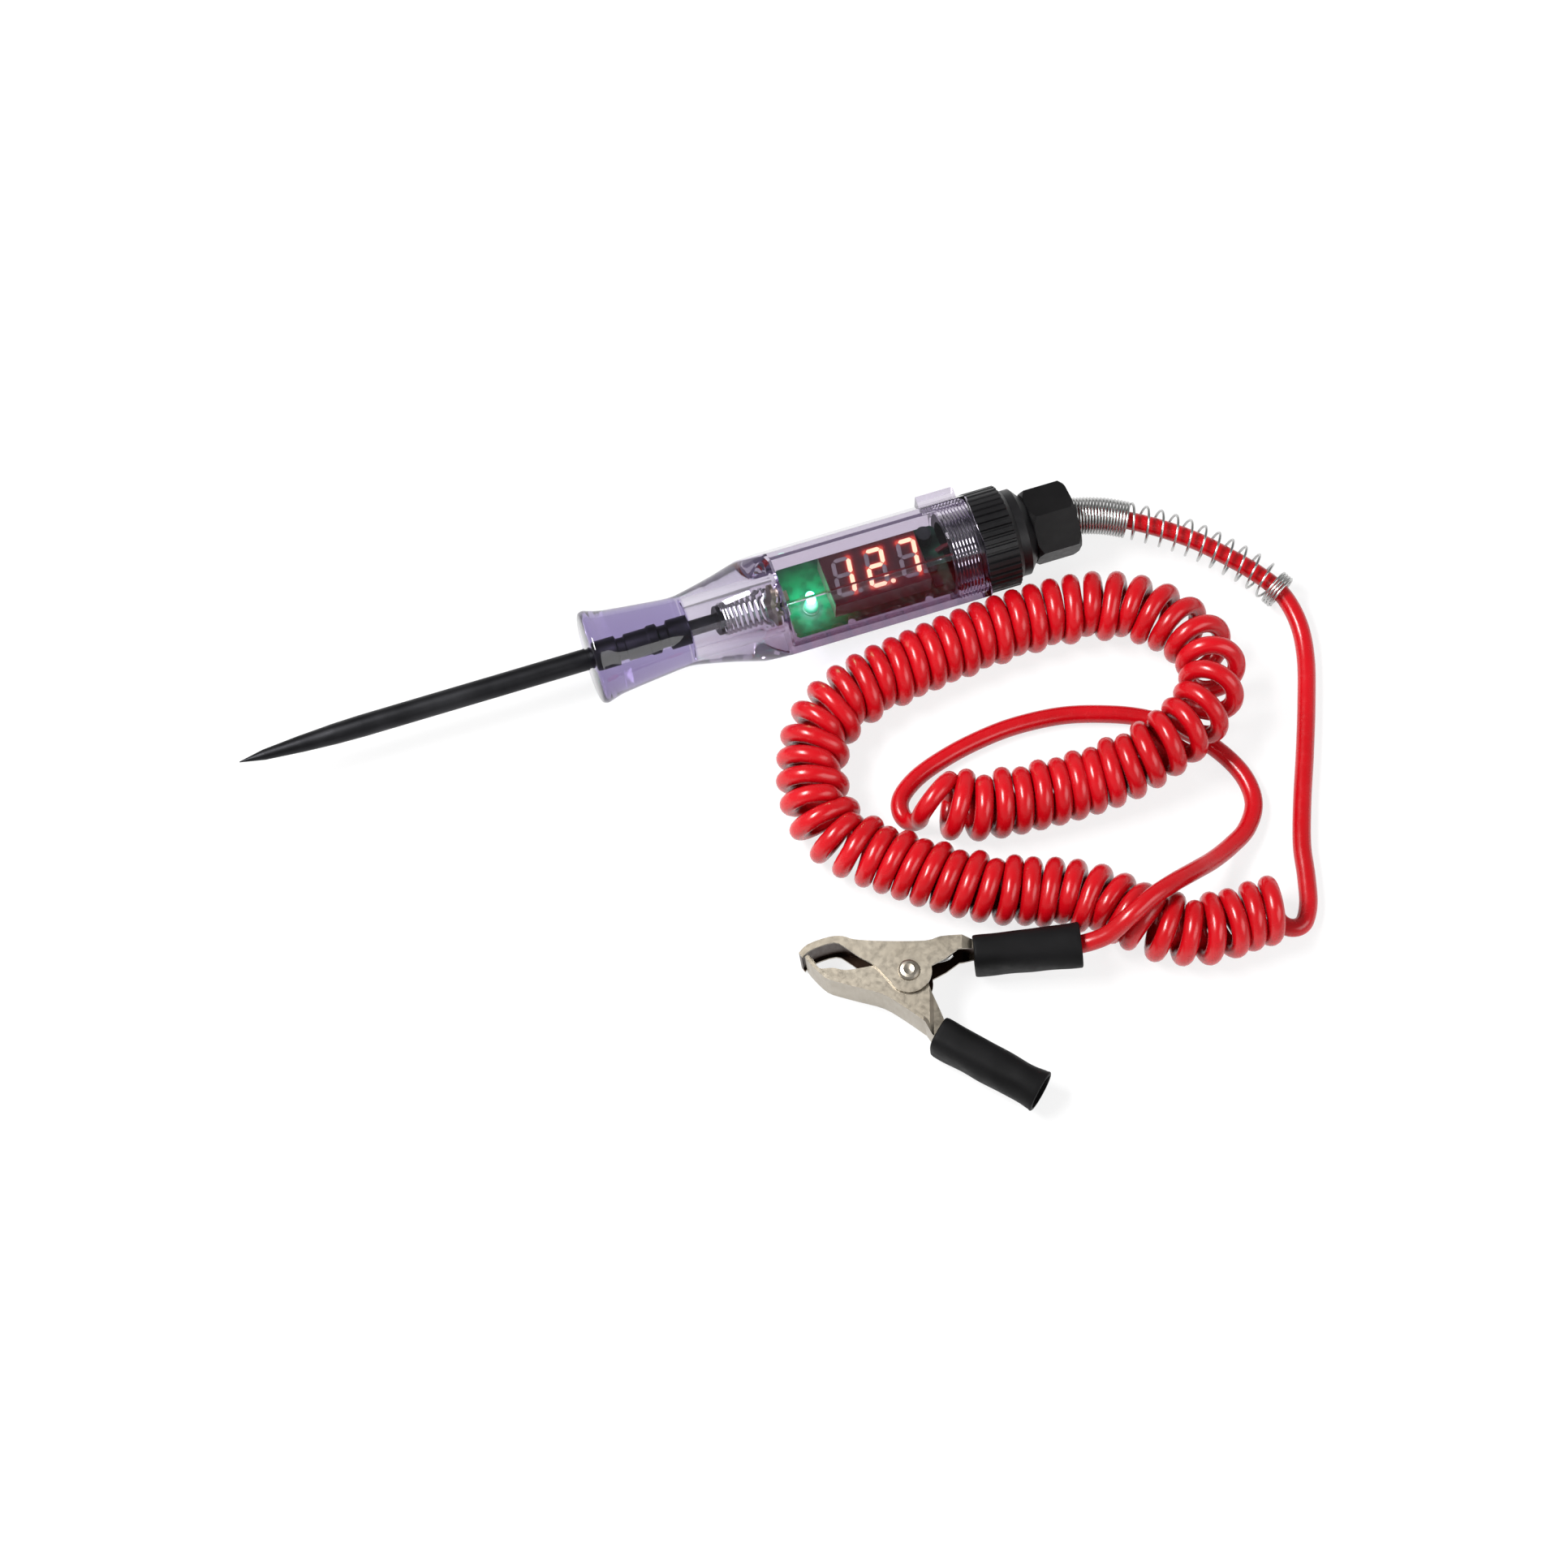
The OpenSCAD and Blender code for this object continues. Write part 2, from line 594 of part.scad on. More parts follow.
lower_inner = concat(
    [lower(grip_l, grip_edge), lower(1.6, grip_edge), [6.6, -9], [5.5, -6.4], [4.5, -4.2]],
    arc(ear_r - 1, -20, 130, 10),
    spline([[-4.4, 1.8], [-7.5, 1.2], [-12.5, 0.4], [-15.2, 0.9], [-17.9, 0.8], [-19, 2.4], [-20, 3.5]], 3));

// Keeps the part of a jaw within its width, which drops to the grip's own
module within_width(wide, narrow, x) {
    rotate([90, 0, 0]) linear_extrude(100, center = true)
        polygon([[-40, -wide / 2], [x - 2, -wide / 2], [x, -narrow / 2], [x + 40, -narrow / 2 + 3],
                 [x + 40, narrow / 2 - 3], [x, narrow / 2], [x - 2, wide / 2], [-40, wide / 2]]);
}

module upper_jaw_hollow() {
    polygon(concat(offset_line(upper_outer, jaw_t), [upper(grip_l + 2, upper_web - jaw_t),
        upper(grip_l + 2, -20), [-5, -20], [-26, -4]]));
}

module clip_upper_jaw() {
    x = upper_at[0] - 0.3;
    color("lightgray") in_clip() difference() {
        intersection() {
            linear_extrude(jaw_w, center = true) polygon(concat(upper_outer, upper_lower));
            within_width(jaw_w, upper_grip_w, x);
        }
        intersection() {
            linear_extrude(jaw_w, center = true) upper_jaw_hollow();
            within_width(jaw_w - 2 * jaw_t, upper_grip_w - 2 * jaw_t, x);
        }
        cylinder(d = rivet_d + 2 * fit, h = 2 * jaw_w, center = true);
    }
}

module lower_jaw_hollow() {
    polygon(concat(offset_line(lower_outer, -jaw_t), [lower(grip_l + 2, jaw_t - lower_web),
        lower(grip_l + 2, 20), [-5, 30], [-26, 20]]));
}

module clip_lower_jaw() {
    x = lower_at[0] - 0.8;
    rim = offset_line(lower_outer, -jaw_t);
    color("silver") in_clip() difference() {
        intersection() {
            union() {
                linear_extrude(jaw_w, center = true) polygon(concat(lower_outer, reversed(rim)));
                linear_extrude(inner_jaw_w, center = true) polygon(concat(lower_outer, lower_inner));
            }
            within_width(jaw_w, lower_grip_w, x);
        }
        intersection() {
            linear_extrude(inner_jaw_w, center = true) lower_jaw_hollow();
            within_width(inner_jaw_w - 2 * jaw_t, lower_grip_w - 2 * jaw_t, x);
        }
        cylinder(d = rivet_d + 2 * rivet_play, h = 2 * jaw_w, center = true);
    }
}

module clip_rivet() {
    seat = jaw_w / 2 + fit;
    color("silver") in_clip() union() {
        cylinder(d = rivet_d, h = 2 * seat, center = true);
        for (s = [0, 1]) mirror([0, 0, s]) translate([0, 0, seat])
            turned([[0, 0], [head_d / 2, 0], [head_d / 2 - 0.1, head_h * 0.45],
                    [head_d / 2 - 0.5, head_h * 0.85], [head_d / 4, head_h], [0, head_h * 0.8]]);
    }
}

module clip_spring() {
    r = rivet_d / 2 + 0.5 + clip_wire / 2;
    pitch = clip_wire * 1.12;
    h = clip_turns * pitch;
    steps = 12;
    coiled = [for (i = [0 : clip_turns * steps + 4])
        let (a = 60 - 360 * i / steps) [r * cos(a), r * sin(a), h / 2 - pitch * i / steps]];
    first = coiled[0];
    last = coiled[len(coiled) - 1];
    wire = concat([[8.6, 4.2, first[2]], [7.6, 3.4, first[2]], [3.6, 2.9, first[2]]], coiled,
                  [[last[0] + 1.6, last[1] - 2.4, last[2]], [4.2, -9.4, last[2]]]);
    color("gainsboro") in_clip() cord(wire, clip_wire, 6);
}

module cable_crimp() {
    color("silver") in_clip() translate([upper(grip_l - 4.2, 0)[0], upper(grip_l - 4.2, 0)[1], 0])
        rotate([0, 90, upper_angle]) cylinder(r = upper_web - jaw_t - 0.05, h = 4.4);
}

// Rounded section of a sleeve: half sizes y and z, and how square it is
function section(y, z, q, n) = [for (k = [0 : n - 1])
    let (a = 360 * k / n, c = cos(a), s = sin(a))
    [y * sign(c) * pow(abs(c), 2 / q), z * sign(s) * pow(abs(s), 2 / q)]];

// Sleeve along X: rows of [place, half width, half height, squareness]
module sleeve(rows) {
    n = 24;
    function row_ring(g, t) = [for (q = section(g[1] - t, g[2] - t, g[3], n)) [g[0], q[0], q[1]]];
    loft_closed(concat([for (g = rows) row_ring(g, 0)], [for (g = reversed(rows)) row_ring(g, sleeve_t)]));
}

module upper_sleeve() {
    l = upper_sleeve_l;
    color("black") in_clip() translate([upper_at[0], upper_at[1], 0]) rotate(upper_angle)
        sleeve([[0, 3.55, 6.15, 3], [0.3, 3.6, 6.2, 3], [l * 0.3, 3.75, 5.8, 2.8], [l * 0.6, 4.1, 5.3, 2.4],
                [l * 0.9, 4.5, 4.8, 2.1], [l, 4.6, 4.6, 2]]);
}

module lower_sleeve() {
    l = lower_sleeve_l;
    color("black") in_clip() translate([lower_at[0], lower_at[1], 0]) rotate(lower_angle)
        sleeve([[0, 3.6, 5.35, 3.4], [0.4, 3.7, 5.45, 3.4], [l * 0.35, 3.75, 5.1, 2.8], [l * 0.65, 3.9, 4.8, 2.4],
                [l * 0.86, 3.75, 4.8, 2.2], [l, 4.3, 4.5, 2.1]]);
}

probe();
handle();
contact_spring();
contact_cup();
circuit_board();
indicator_led();
display_case();
lit_segments();
dark_segments();
controller_chip();
resistors();
capacitor();
inner_wire();
end_cap();
cord_clamp();
gland_nut();
relief_spring();
lead_out();
coil();
lead_loop();
clip_upper_jaw();
clip_lower_jaw();
clip_rivet();
clip_spring();
cable_crimp();
upper_sleeve();
lower_sleeve();
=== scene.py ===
import math

import bpy
from mathutils import Matrix, Vector


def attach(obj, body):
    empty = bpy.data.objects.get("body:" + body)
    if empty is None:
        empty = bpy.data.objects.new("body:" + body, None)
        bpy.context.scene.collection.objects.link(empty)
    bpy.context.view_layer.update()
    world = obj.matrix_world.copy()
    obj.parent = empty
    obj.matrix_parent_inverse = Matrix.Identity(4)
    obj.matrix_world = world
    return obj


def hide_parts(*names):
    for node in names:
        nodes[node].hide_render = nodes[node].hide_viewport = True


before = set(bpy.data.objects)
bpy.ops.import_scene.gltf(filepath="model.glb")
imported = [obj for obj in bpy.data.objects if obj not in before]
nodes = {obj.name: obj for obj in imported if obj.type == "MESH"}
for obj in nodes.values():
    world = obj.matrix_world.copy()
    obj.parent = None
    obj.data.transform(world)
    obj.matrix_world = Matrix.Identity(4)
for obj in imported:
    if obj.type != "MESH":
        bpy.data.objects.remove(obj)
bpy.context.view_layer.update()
MM = 0.001

# Sizes in mm, as in the CAD. Places along the tester count from the probe's tip, and the
# frame's X from the tester's middle.
AXIS_Z = 10.85
TESTER_L = 180.7
MIDDLE = TESTER_L / 2
HANDLE_AT = 74.9
NECK_AT = 96.2
CHAMBER_AT = 115.7
BORE_AT = 152.4
HANDLE_END = 159.2
STUB_END = 176.1
HEX_AF = 21.7
CHAMBER_AF = 17.7


# camera, in degrees, metres and the sensor's mm

AZIMUTH, ELEVATION = -18.434, 65
AIM = Vector((0.015331, -0.035037, -0.000142))
DISTANCE = 0.85
SENSOR, LENS = 36, 94.33


def set_camera():
    azimuth, elevation = math.radians(AZIMUTH), math.radians(ELEVATION)
    back = Vector((math.sin(azimuth) * math.cos(elevation),
                   -math.cos(azimuth) * math.cos(elevation), math.sin(elevation)))
    right = Vector((math.cos(azimuth), math.sin(azimuth), 0))
    up = back.cross(right)
    at = AIM + back * DISTANCE
    data = bpy.data.cameras.new("camera")
    data.sensor_width = SENSOR
    data.lens = LENS
    data.clip_start = 0.01
    camera = bpy.data.objects.new("camera", data)
    camera.matrix_world = Matrix((
        (right.x, up.x, back.x, at.x), (right.y, up.y, back.y, at.y),
        (right.z, up.z, back.z, at.z), (0, 0, 0, 1)))
    bpy.context.collection.objects.link(camera)
    bpy.context.scene.camera = camera


set_camera()


# curves and meshes, in mm

def spline(points, steps):
    """Catmull-Rom curve through the points, with so many steps between each pair."""
    p = [Vector(q) for q in points]
    out = []
    for i in range(len(p) - 1):
        a, b, c, d = p[max(i - 1, 0)], p[i], p[i + 1], p[min(i + 2, len(p) - 1)]
        for k in range(steps):
            t = k / steps
            out.append(0.5 * (2 * b + (c - a) * t + (2 * a - 5 * b + 4 * c - d) * t * t
                              + (3 * b - a - 3 * c + d) * t ** 3))
    out.append(p[-1])
    return out


def length_of(line):
    return sum((b - a).length for a, b in zip(line, line[1:]))


def evenly(line, step):
    """The same line with its points about a step apart."""
    runs = [0.0]
    for a, b in zip(line, line[1:]):
        runs.append(runs[-1] + (b - a).length)
    count = max(2, round(runs[-1] / step))
    out, i = [], 0
    for k in range(count + 1):
        s = runs[-1] * k / count
        while i < len(line) - 2 and runs[i + 1] < s:
            i += 1
        span = runs[i + 1] - runs[i]
        out.append(line[i].lerp(line[i + 1], (s - runs[i]) / span if span else 0))
    return out


def heading(line, i):
    return (line[min(i + 1, len(line) - 1)] - line[max(i - 1, 0)]).normalized()


def across(t):
    """The level and the rising direction square to t."""
    side = Vector((0, 0, 1)).cross(t).normalized()
    return side, t.cross(side)


def around(side, rise, angle):
    """The direction at an angle from side towards rise."""
    return side * math.cos(angle) + rise * math.sin(angle)


def mean(values):
    return sum(values) / len(values)


def circle(at, radius, sides):
    """Points of a circle in plan, as pairs."""
    turns = [2 * math.pi * k / sides for k in range(sides)]
    return [(at.x + radius * math.cos(a), at.y + radius * math.sin(a)) for a in turns]


def bands(rings, sides, closed=False):
    """Faces between neighbouring rings of points, and from the last to the first if closed."""
    faces = []
    for i in range(rings if closed else rings - 1):
        j = (i + 1) % rings
        for k in range(sides):
            after = (k + 1) % sides
            faces.append((i * sides + k, i * sides + after, j * sides + after, j * sides + k))
    return faces


def lids(rings, sides):
    """Faces over the first and the last ring."""
    last = (rings - 1) * sides
    return [tuple(range(sides - 1, -1, -1)), tuple(range(last, last + sides))]


def slab(verts, faces, outline, low, high):
    """Adds an upright slab over an outline in plan."""
    n, base = len(outline), len(verts)
    verts.extend([(x, y, low) for x, y in outline] + [(x, y, high) for x, y in outline])
    faces.append(tuple(base + k for k in range(n - 1, -1, -1)))
    faces.append(tuple(base + n + k for k in range(n)))
    for k in range(n):
        after = (k + 1) % n
        faces.append((base + k, base + after, base + n + after, base + n + k))


def new_object(name, verts, faces, smooth=True):
    """A mesh object in the scene, in metres, from points in mm."""
    mesh = bpy.data.meshes.new(name)
    mesh.from_pydata([tuple(Vector(v) * MM) for v in verts], [], faces)
    mesh.validate()
    mesh.update()
    if smooth:
        mesh.polygons.foreach_set("use_smooth", [True] * len(mesh.polygons))
    piece = bpy.data.objects.new(name, mesh)
    bpy.context.collection.objects.link(piece)
    return piece


def tube_mesh(name, line, radius, sides):
    """A round tube along the line, whose rings turn as little as they can."""
    verts, normal = [], None
    for i, p in enumerate(line):
        t = heading(line, i)
        if normal is None:
            normal = t.orthogonal().normalized()
        else:
            normal = (normal - t * normal.dot(t)).normalized()
        side = t.cross(normal)
        verts += [p + around(normal, side, 2 * math.pi * k / sides) * radius for k in range(sides)]
    return new_object(name, verts, bands(len(line), sides) + lids(len(line), sides))


# the lead

# Its route is listed point by point, as in the CAD. OUT_NEAR is measured from where it leaves the nut.
EXIT = Vector((MIDDLE, 0, AXIS_Z))
OUT_NEAR = [(-13.4, 0, 0), (-6, 0, 0), (0, 0, 0), (6.6, -2, -0.2), (12.6, -5, -0.9),
            (18.6, -8.5, -2), (24.1, -12.3, -3.4), (29.1, -16.8, -4.8), (34, -22, -6.1),
            (37.6, -28, -6.85)]
OUT_FAR = [(129.2, -35, 2.6), (127.8, -43, 1.9), (124, -53, 1.9), (119.5, -63.5, 1.9),
           (115, -73.5, 1.9), (111.4, -82.5, 1.9), (109.6, -89.5, 1.9), (107.6, -95.6, 1.9),
           (104.8, -99.4, 1.9), (101.4, -100.2, 1.9), (99, -97.4, 1.9)]
COIL = [(102.6, -96.2, 6.8), (94, -96, 6.8), (85, -96.2, 6.8), (76.4, -92.8, 6.8),
        (70.8, -86.8, 6.8), (65.4, -81.8, 6.8), (57.8, -78, 6.8), (48, -74.6, 6.8),
        (38.5, -68.8, 6.8), (29.5, -61.6, 6.8), (23, -55.8, 6.8), (19.3, -49.5, 6.8),
        (19, -42.5, 6.8), (21, -35.2, 6.8), (24.8, -28.8, 6.8), (31, -24.3, 6.8),
        (39, -21.9, 6.8), (50, -20.4, 6.8), (61, -19.1, 6.8), (72, -18.4, 6.8),
        (83, -18.6, 6.8), (91.5, -20.3, 6.8), (98.6, -24.2, 6.8), (103.6, -29.8, 7),
        (106.2, -36, 8), (106.2, -42.4, 9.6), (103.2, -48.4, 10.8), (97.5, -53.2, 11),
        (90, -56.2, 10.6), (81.5, -57.6, 8.4), (72.5, -57.6, 6.9), (62, -57.2, 6.8),
        (51.5, -56, 6.8), (45.2, -53.8, 6.8), (41.8, -50.6, 6.8)]
LOOP = [(43.4, -57.4, 3.4), (41.2, -57.6, 2.3), (38.8, -55.9, 1.9), (36.6, -52.8, 1.9),
        (35.8, -49.4, 1.9), (37.2, -46.3, 1.9), (41.5, -43.3, 1.9), (47.5, -41.1, 1.9),
        (55, -39.4, 1.9), (64, -38.5, 1.9), (74, -39.2, 1.9), (82.5, -41.5, 1.9),
        (90.4, -45, 1.9), (97.5, -50.4, 1.9), (102.6, -56.8, 1.9), (105.6, -64, 1.9),
        (105.4, -70.6, 2), (101.8, -75.8, 2.7), (96.8, -79.2, 4.6), (91.4, -82.2, 7.6),
        (86, -84.7, 11.2), (80.4, -87, 14.3), (74.8, -89.2, 15.9), (69.4, -91.4, 15.2),
        (64.4, -92.6, 12), (59.2, -91.9, 9.6), (53.4, -90.7, 9)]
CORD_R = 1.9
# Radius of the turns at the cord's middle, and their pitch where they lie close
TURN_R = 5.2
CLOSE = 3.86
# Places along the coil where the turns stand apart, as [extra pitch, from, to]
SPREADS = [(0.1, -30, 40), (1.7, 188, 250), (0.9, 284, 304)]
# Degrees by which the last turn is cut short
SHORT_BY = 70
# How far the turns stand above the CAD's line, and the heights at which the loop crosses them
LIFT = 0.35
CROSSING = (4, 27)
# Points of the three fine lines that the joints between them take the place of
OUT_CUT, COIL_CUT, LOOP_CUT = 24, 8, 37


def arch(x, low, high):
    """Smooth rise and fall between two places, 1 in their middle."""
    if not low < x < high:
        return 0.0
    return math.sin(math.pi * (x - low) / (high - low)) ** 2


def bends_of(line, step):
    """The line's signed curvature in plan, per mm, left positive, smoothed over 8 mm."""
    reach = round(4 / step)
    out = []
    for i in range(len(line)):
        a, b = max(i - reach, 1), min(i + reach, len(line) - 2)
        s, t = heading(line, a), heading(line, b)
        turn = math.atan2(s.x * t.y - s.y * t.x, s.x * t.x + s.y * t.y)
        out.append(turn / ((b - a) * step))
    return [mean(out[max(i - reach, 0):i + reach + 1]) for i in range(len(out))]


def coil_wire():
    """Left-handed turns round the coil's centre line. They open where it bends, and on
    the inside of a bend every second turn rides on its neighbours. Single turns are fuller
    than the CAD's plain tube, so the line stands a little higher. Give is how much of the
    crowding on a bend's inside a wider pitch makes up for."""
    step, give, sharpest, most_lift = 0.25, 0.6, 0.1, 1.1
    line = [p + Vector((0, 0, LIFT)) for p in evenly(spline(COIL, 16), step)][COIL_CUT:]
    bends = bends_of(line, step)
    pitches = []
    for i, bend in enumerate(bends):
        spread = sum(most * arch(i * step, low, high) for most, low, high in SPREADS)
        pitches.append(CLOSE / (1 - give * TURN_R * min(abs(bend), sharpest)) + spread)
    total = sum(step / pitch for pitch in pitches[:-1])
    turns = round(total) - SHORT_BY / 360
    out, angle = [], -math.pi / 2
    for i in range(len(line) - 1):
        side, rise = across(heading(line, i))
        rate = 2 * math.pi * step / pitches[i] * turns / total
        for f in (0, 0.5):
            a = angle - rate * f
            gap = pitches[i] * (1 - TURN_R * bends[i] * math.cos(a))
            lift = 0.5 * math.sqrt(max(CLOSE ** 2 - gap ** 2, 0))
            swap = math.cos(a / 2) if math.cos(a) > 0 else math.sin(a / 2)
            r = TURN_R + min(lift, most_lift) * swap * min(1, 3 * abs(math.cos(a)))
            out.append(line[i].lerp(line[i + 1], f) + around(side, rise, a) * r)
        angle -= rate
    return out, turns


def joint(before, after, steps, pull):
    """Smooth curve between one line's end and the next line's start. A larger pull
    keeps it along both lines for longer."""
    a, b = before[-1], after[0]
    gap = (b - a).length * pull
    u, v = (a - before[-2]).normalized() * gap, (after[1] - b).normalized() * gap
    out = []
    for k in range(1, steps):
        t = k / steps
        out.append(a * (2 * t ** 3 - 3 * t ** 2 + 1) + u * (t ** 3 - 2 * t ** 2 + t)
                   + b * (3 * t ** 2 - 2 * t ** 3) + v * (t ** 3 - t ** 2))
    return out


def make_lead():
    """The lead from inside the nut through the coil to the clip, as one tube, with its
    path and length in metres."""
    out_points = [EXIT + Vector(q) for q in OUT_NEAR] + [Vector(q) for q in OUT_FAR]
    loop_points = [Vector((x, y, z + LIFT * arch(z, *CROSSING))) for x, y, z in LOOP]
    start = spline(out_points, 10)[:-OUT_CUT]
    wire, turns = coil_wire()
    end = spline(loop_points, 10)[LOOP_CUT:]
    line = (start + joint(start, wire, steps=16, pull=1.5) + wire
            + joint(wire, end, steps=18, pull=1.2) + end)
    line = [p for i, p in enumerate(line) if i == 0 or (p - line[i - 1]).length > 0.02]
    lead = tube_mesh("lead", line, CORD_R, sides=16)
    path = [tuple(p * MM) for p in line]
    length = length_of(line) * MM
    print("lead", round(length, 4), "m,", round(turns, 2), "turns,", len(line), "rings")
    return lead, path, length


lead, lead_path, lead_length = make_lead()
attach(lead, "tester")
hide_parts("lead_out", "coil", "lead_loop")


# the strain relief

RELIEF_WIRE = 0.56
# Radius of the winding at the wire's middle
RELIEF_R = 3.67
# From the stub's end to the winding's seat inside the nut, and the seat's play
SEAT_DEPTH, SEAT_PLAY = 1.7, 0.3


def relief_winding():
    """The strain relief's wire: closed turns, open turns, closed turns, along the lead."""
    seat = STUB_END + SEAT_DEPTH - TESTER_L + RELIEF_WIRE / 2 + SEAT_PLAY
    near = [EXIT + Vector((seat, 0, 0))] + [EXIT + Vector(q) for q in OUT_NEAR[2:]]
    line = evenly(spline(near, 20), 0.1)
    total = length_of(line)
    tight = RELIEF_WIRE * 1.18
    closed, opened, ended, per_turn = 22, 11, 3.5, 26
    turns = closed + opened + ended
    out = []
    for k in range(int(turns * per_turn) + 1):
        a = k / per_turn
        if a <= closed:
            s = a * tight
        elif a >= closed + opened:
            s = total - (turns - a) * tight
        else:
            s = closed * tight + (a - closed) * (total - (closed + ended) * tight) / opened
        place = s / total * (len(line) - 1)
        i = min(int(place), len(line) - 2)
        side, rise = across((line[i + 1] - line[i]).normalized())
        middle = line[i].lerp(line[i + 1], place - i)
        out.append(middle + around(side, rise, 2 * math.pi * a) * RELIEF_R)
    return tube_mesh("relief_wire", out, RELIEF_WIRE / 2, sides=8)


relief = relief_winding()
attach(relief, "tester")
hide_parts("relief_spring")


# the clip's sleeves and spring

def placed(at, degrees, axis="Z"):
    """A frame at a place, turned round an axis."""
    return Matrix.Translation(at) @ Matrix.Rotation(math.radians(degrees), 4, axis)


# The clip's own frame: the rivet stands on Z and the nose points to -X
CLIP_AT, CLIP_YAW, CLIP_TILT = (24.7, -86.7, 6.659), -19, 7
CLIP_LEAN = Vector((0.883, -0.469, 0))
CLIP = placed(CLIP_AT, CLIP_YAW) @ placed((0, 0, 0), CLIP_TILT, CLIP_LEAN)
UPPER_GRIP = CLIP @ placed((12.9, 4.3, 0), 5.9)
LOWER_GRIP = CLIP @ placed((5.7, -12.2, 0), -29.9)
SLEEVE_T = 0.75
# Half section of a sleeve's rounded end, as [inset, distance from the end]
ROUND_END = [(0.28, 0), (0.12, 0.08), (0.03, 0.2), (0, 0.36)]


def smoothed(rows, reach):
    """The rows with their sizes averaged over the neighbours, but the end rows as they are."""
    out = [rows[0]]
    for i in range(1, len(rows) - 1):
        near = rows[max(i - reach, 0):i + reach + 1]
        out.append([rows[i][0]] + [mean(sizes) for sizes in list(zip(*near))[1:]])
    return out + [rows[-1]]


def sleeve_mesh(name, grip, rows, waver):
    """Vinyl sleeve on a grip. Rows are [place, half width, half height, squareness]."""
    sides, parts, end_zone = 72, 60, 0.6
    length = rows[-1][0]
    fine = []
    for k in range(parts + 1):
        x = length * k / parts
        i = max(j for j in range(len(rows) - 1) if rows[j][0] <= x)
        a, b = rows[i], rows[i + 1]
        f = min((x - a[0]) / (b[0] - a[0]), 1)
        fine.append([x] + [u + (v - u) * f for u, v in zip(a[1:], b[1:])])
    fine = smoothed(fine, 3)

    def ring(row, inset, x):
        """Rounded rectangle with slow waves round it and along the sleeve."""
        place, half_y, half_z, square = row
        out = []
        for k in range(sides):
            a = 2 * math.pi * k / sides
            c, d = math.cos(a), math.sin(a)
            dent = waver * (math.sin(2 * a + 0.35 * place) * math.sin(0.31 * place + 1)
                            + 0.6 * math.sin(3 * a - 0.8 * place))
            y = (half_y - inset + dent) * math.copysign(abs(c) ** (2 / square), c)
            z = (half_z - inset + 0.5 * dent) * math.copysign(abs(d) ** (2 / square), d)
            out.append(grip @ Vector((x, y, z)))
        return out

    rings = [ring(fine[0], inset, far) for inset, far in ROUND_END]
    rings += [ring(row, 0, row[0]) for row in fine if end_zone < row[0] < length - end_zone]
    rings += [ring(fine[-1], inset, length - far) for inset, far in reversed(ROUND_END)]
    rings += [ring(row, SLEEVE_T, row[0]) for row in reversed(fine)]
    verts = [v for r in rings for v in r]
    sleeve = new_object(name, verts, bands(len(rings), sides, closed=True))
    sleeve.data.set_sharp_from_angle(angle=math.radians(50))
    return sleeve


upper_vinyl = sleeve_mesh("upper_grip_vinyl", UPPER_GRIP, [
    (0, 3.55, 6.15, 3), (0.3, 3.6, 6.2, 3), (6.48, 3.75, 5.8, 2.8), (12.96, 4.1, 5.3, 2.4),
    (19.44, 4.5, 4.8, 2.1), (21.6, 4.6, 4.6, 2)], 0.05)
lower_vinyl = sleeve_mesh("lower_grip_vinyl", LOWER_GRIP, [
    (0, 3.6, 5.35, 3.4), (0.4, 3.7, 5.45, 3.4), (8.19, 3.75, 5.1, 2.8), (15.21, 3.9, 4.8, 2.4),
    (20.1, 3.75, 4.8, 2.2), (23.4, 4.3, 4.5, 2.1)], 0.06)
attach(upper_vinyl, "tester")
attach(lower_vinyl, "clip_jaw")
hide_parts("upper_sleeve")
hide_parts("lower_sleeve")


def clip_spring_parts():
    """The torsion spring's coil with its fixed leg, and its leg on the moving jaw."""
    wire, turns, radius, per_turn, over = 0.8, 4, 2.4, 24, 9
    pitch = wire * 1.12
    height = turns * pitch
    coiled = []
    for k in range(turns * per_turn + over):
        a = math.radians(60 - 360 * k / per_turn)
        z = height / 2 - pitch * k / per_turn
        coiled.append(Vector((radius * math.cos(a), radius * math.sin(a), z)))
    top, low = coiled[0], coiled[-1]
    fixed = spline([(8.6, 4.2, top.z), (7.6, 3.4, top.z), (5.6, 2.9, top.z), (3.6, 2.9, top.z),
                    top], 6)
    moving = spline([coiled[-4], low, (low.x + 1.6, low.y - 2.4, low.z), (3.4, -6.6, low.z),
                     (4.2, -9.4, low.z)], 6)
    still = [CLIP @ p for p in fixed[:-1] + coiled]
    swung = [CLIP @ p for p in moving]
    return (tube_mesh("clip_spring_coil", still, wire / 2, sides=12),
            tube_mesh("clip_spring_leg", swung, wire / 2, sides=12))


spring_coil, spring_leg = clip_spring_parts()
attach(spring_coil, "tester")
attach(spring_leg, "clip_jaw")
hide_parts("clip_spring")


# the display, the board and the lamp, placed as in the photo

DISPLAY_AT, DISPLAY_L, DISPLAY_W, DISPLAY_H = 126.1, 21, 11, 5
DISPLAY_Y = -1.35
BOARD_AT, BOARD_END, BOARD_T, BOARD_TOP = 117.3, 152.3, 1.6, 0.6
BOARD_Z = AXIS_Z + BOARD_TOP
FACE = Vector((DISPLAY_AT + DISPLAY_L / 2 - MIDDLE, DISPLAY_Y, BOARD_Z + DISPLAY_H))
LAMP = Vector((121.94 - MIDDLE, -3.4, BOARD_Z))
DIGIT_H, DIGIT_W, DIGIT_PITCH, SEGMENT_W = 8.1, 4.2, 7.1, 0.9
SLANT_DEG = 8
SLANT = math.tan(math.radians(SLANT_DEG))
HALF_W, HALF_H = (DIGIT_W - SEGMENT_W) / 2, (DIGIT_H - SEGMENT_W) / 2
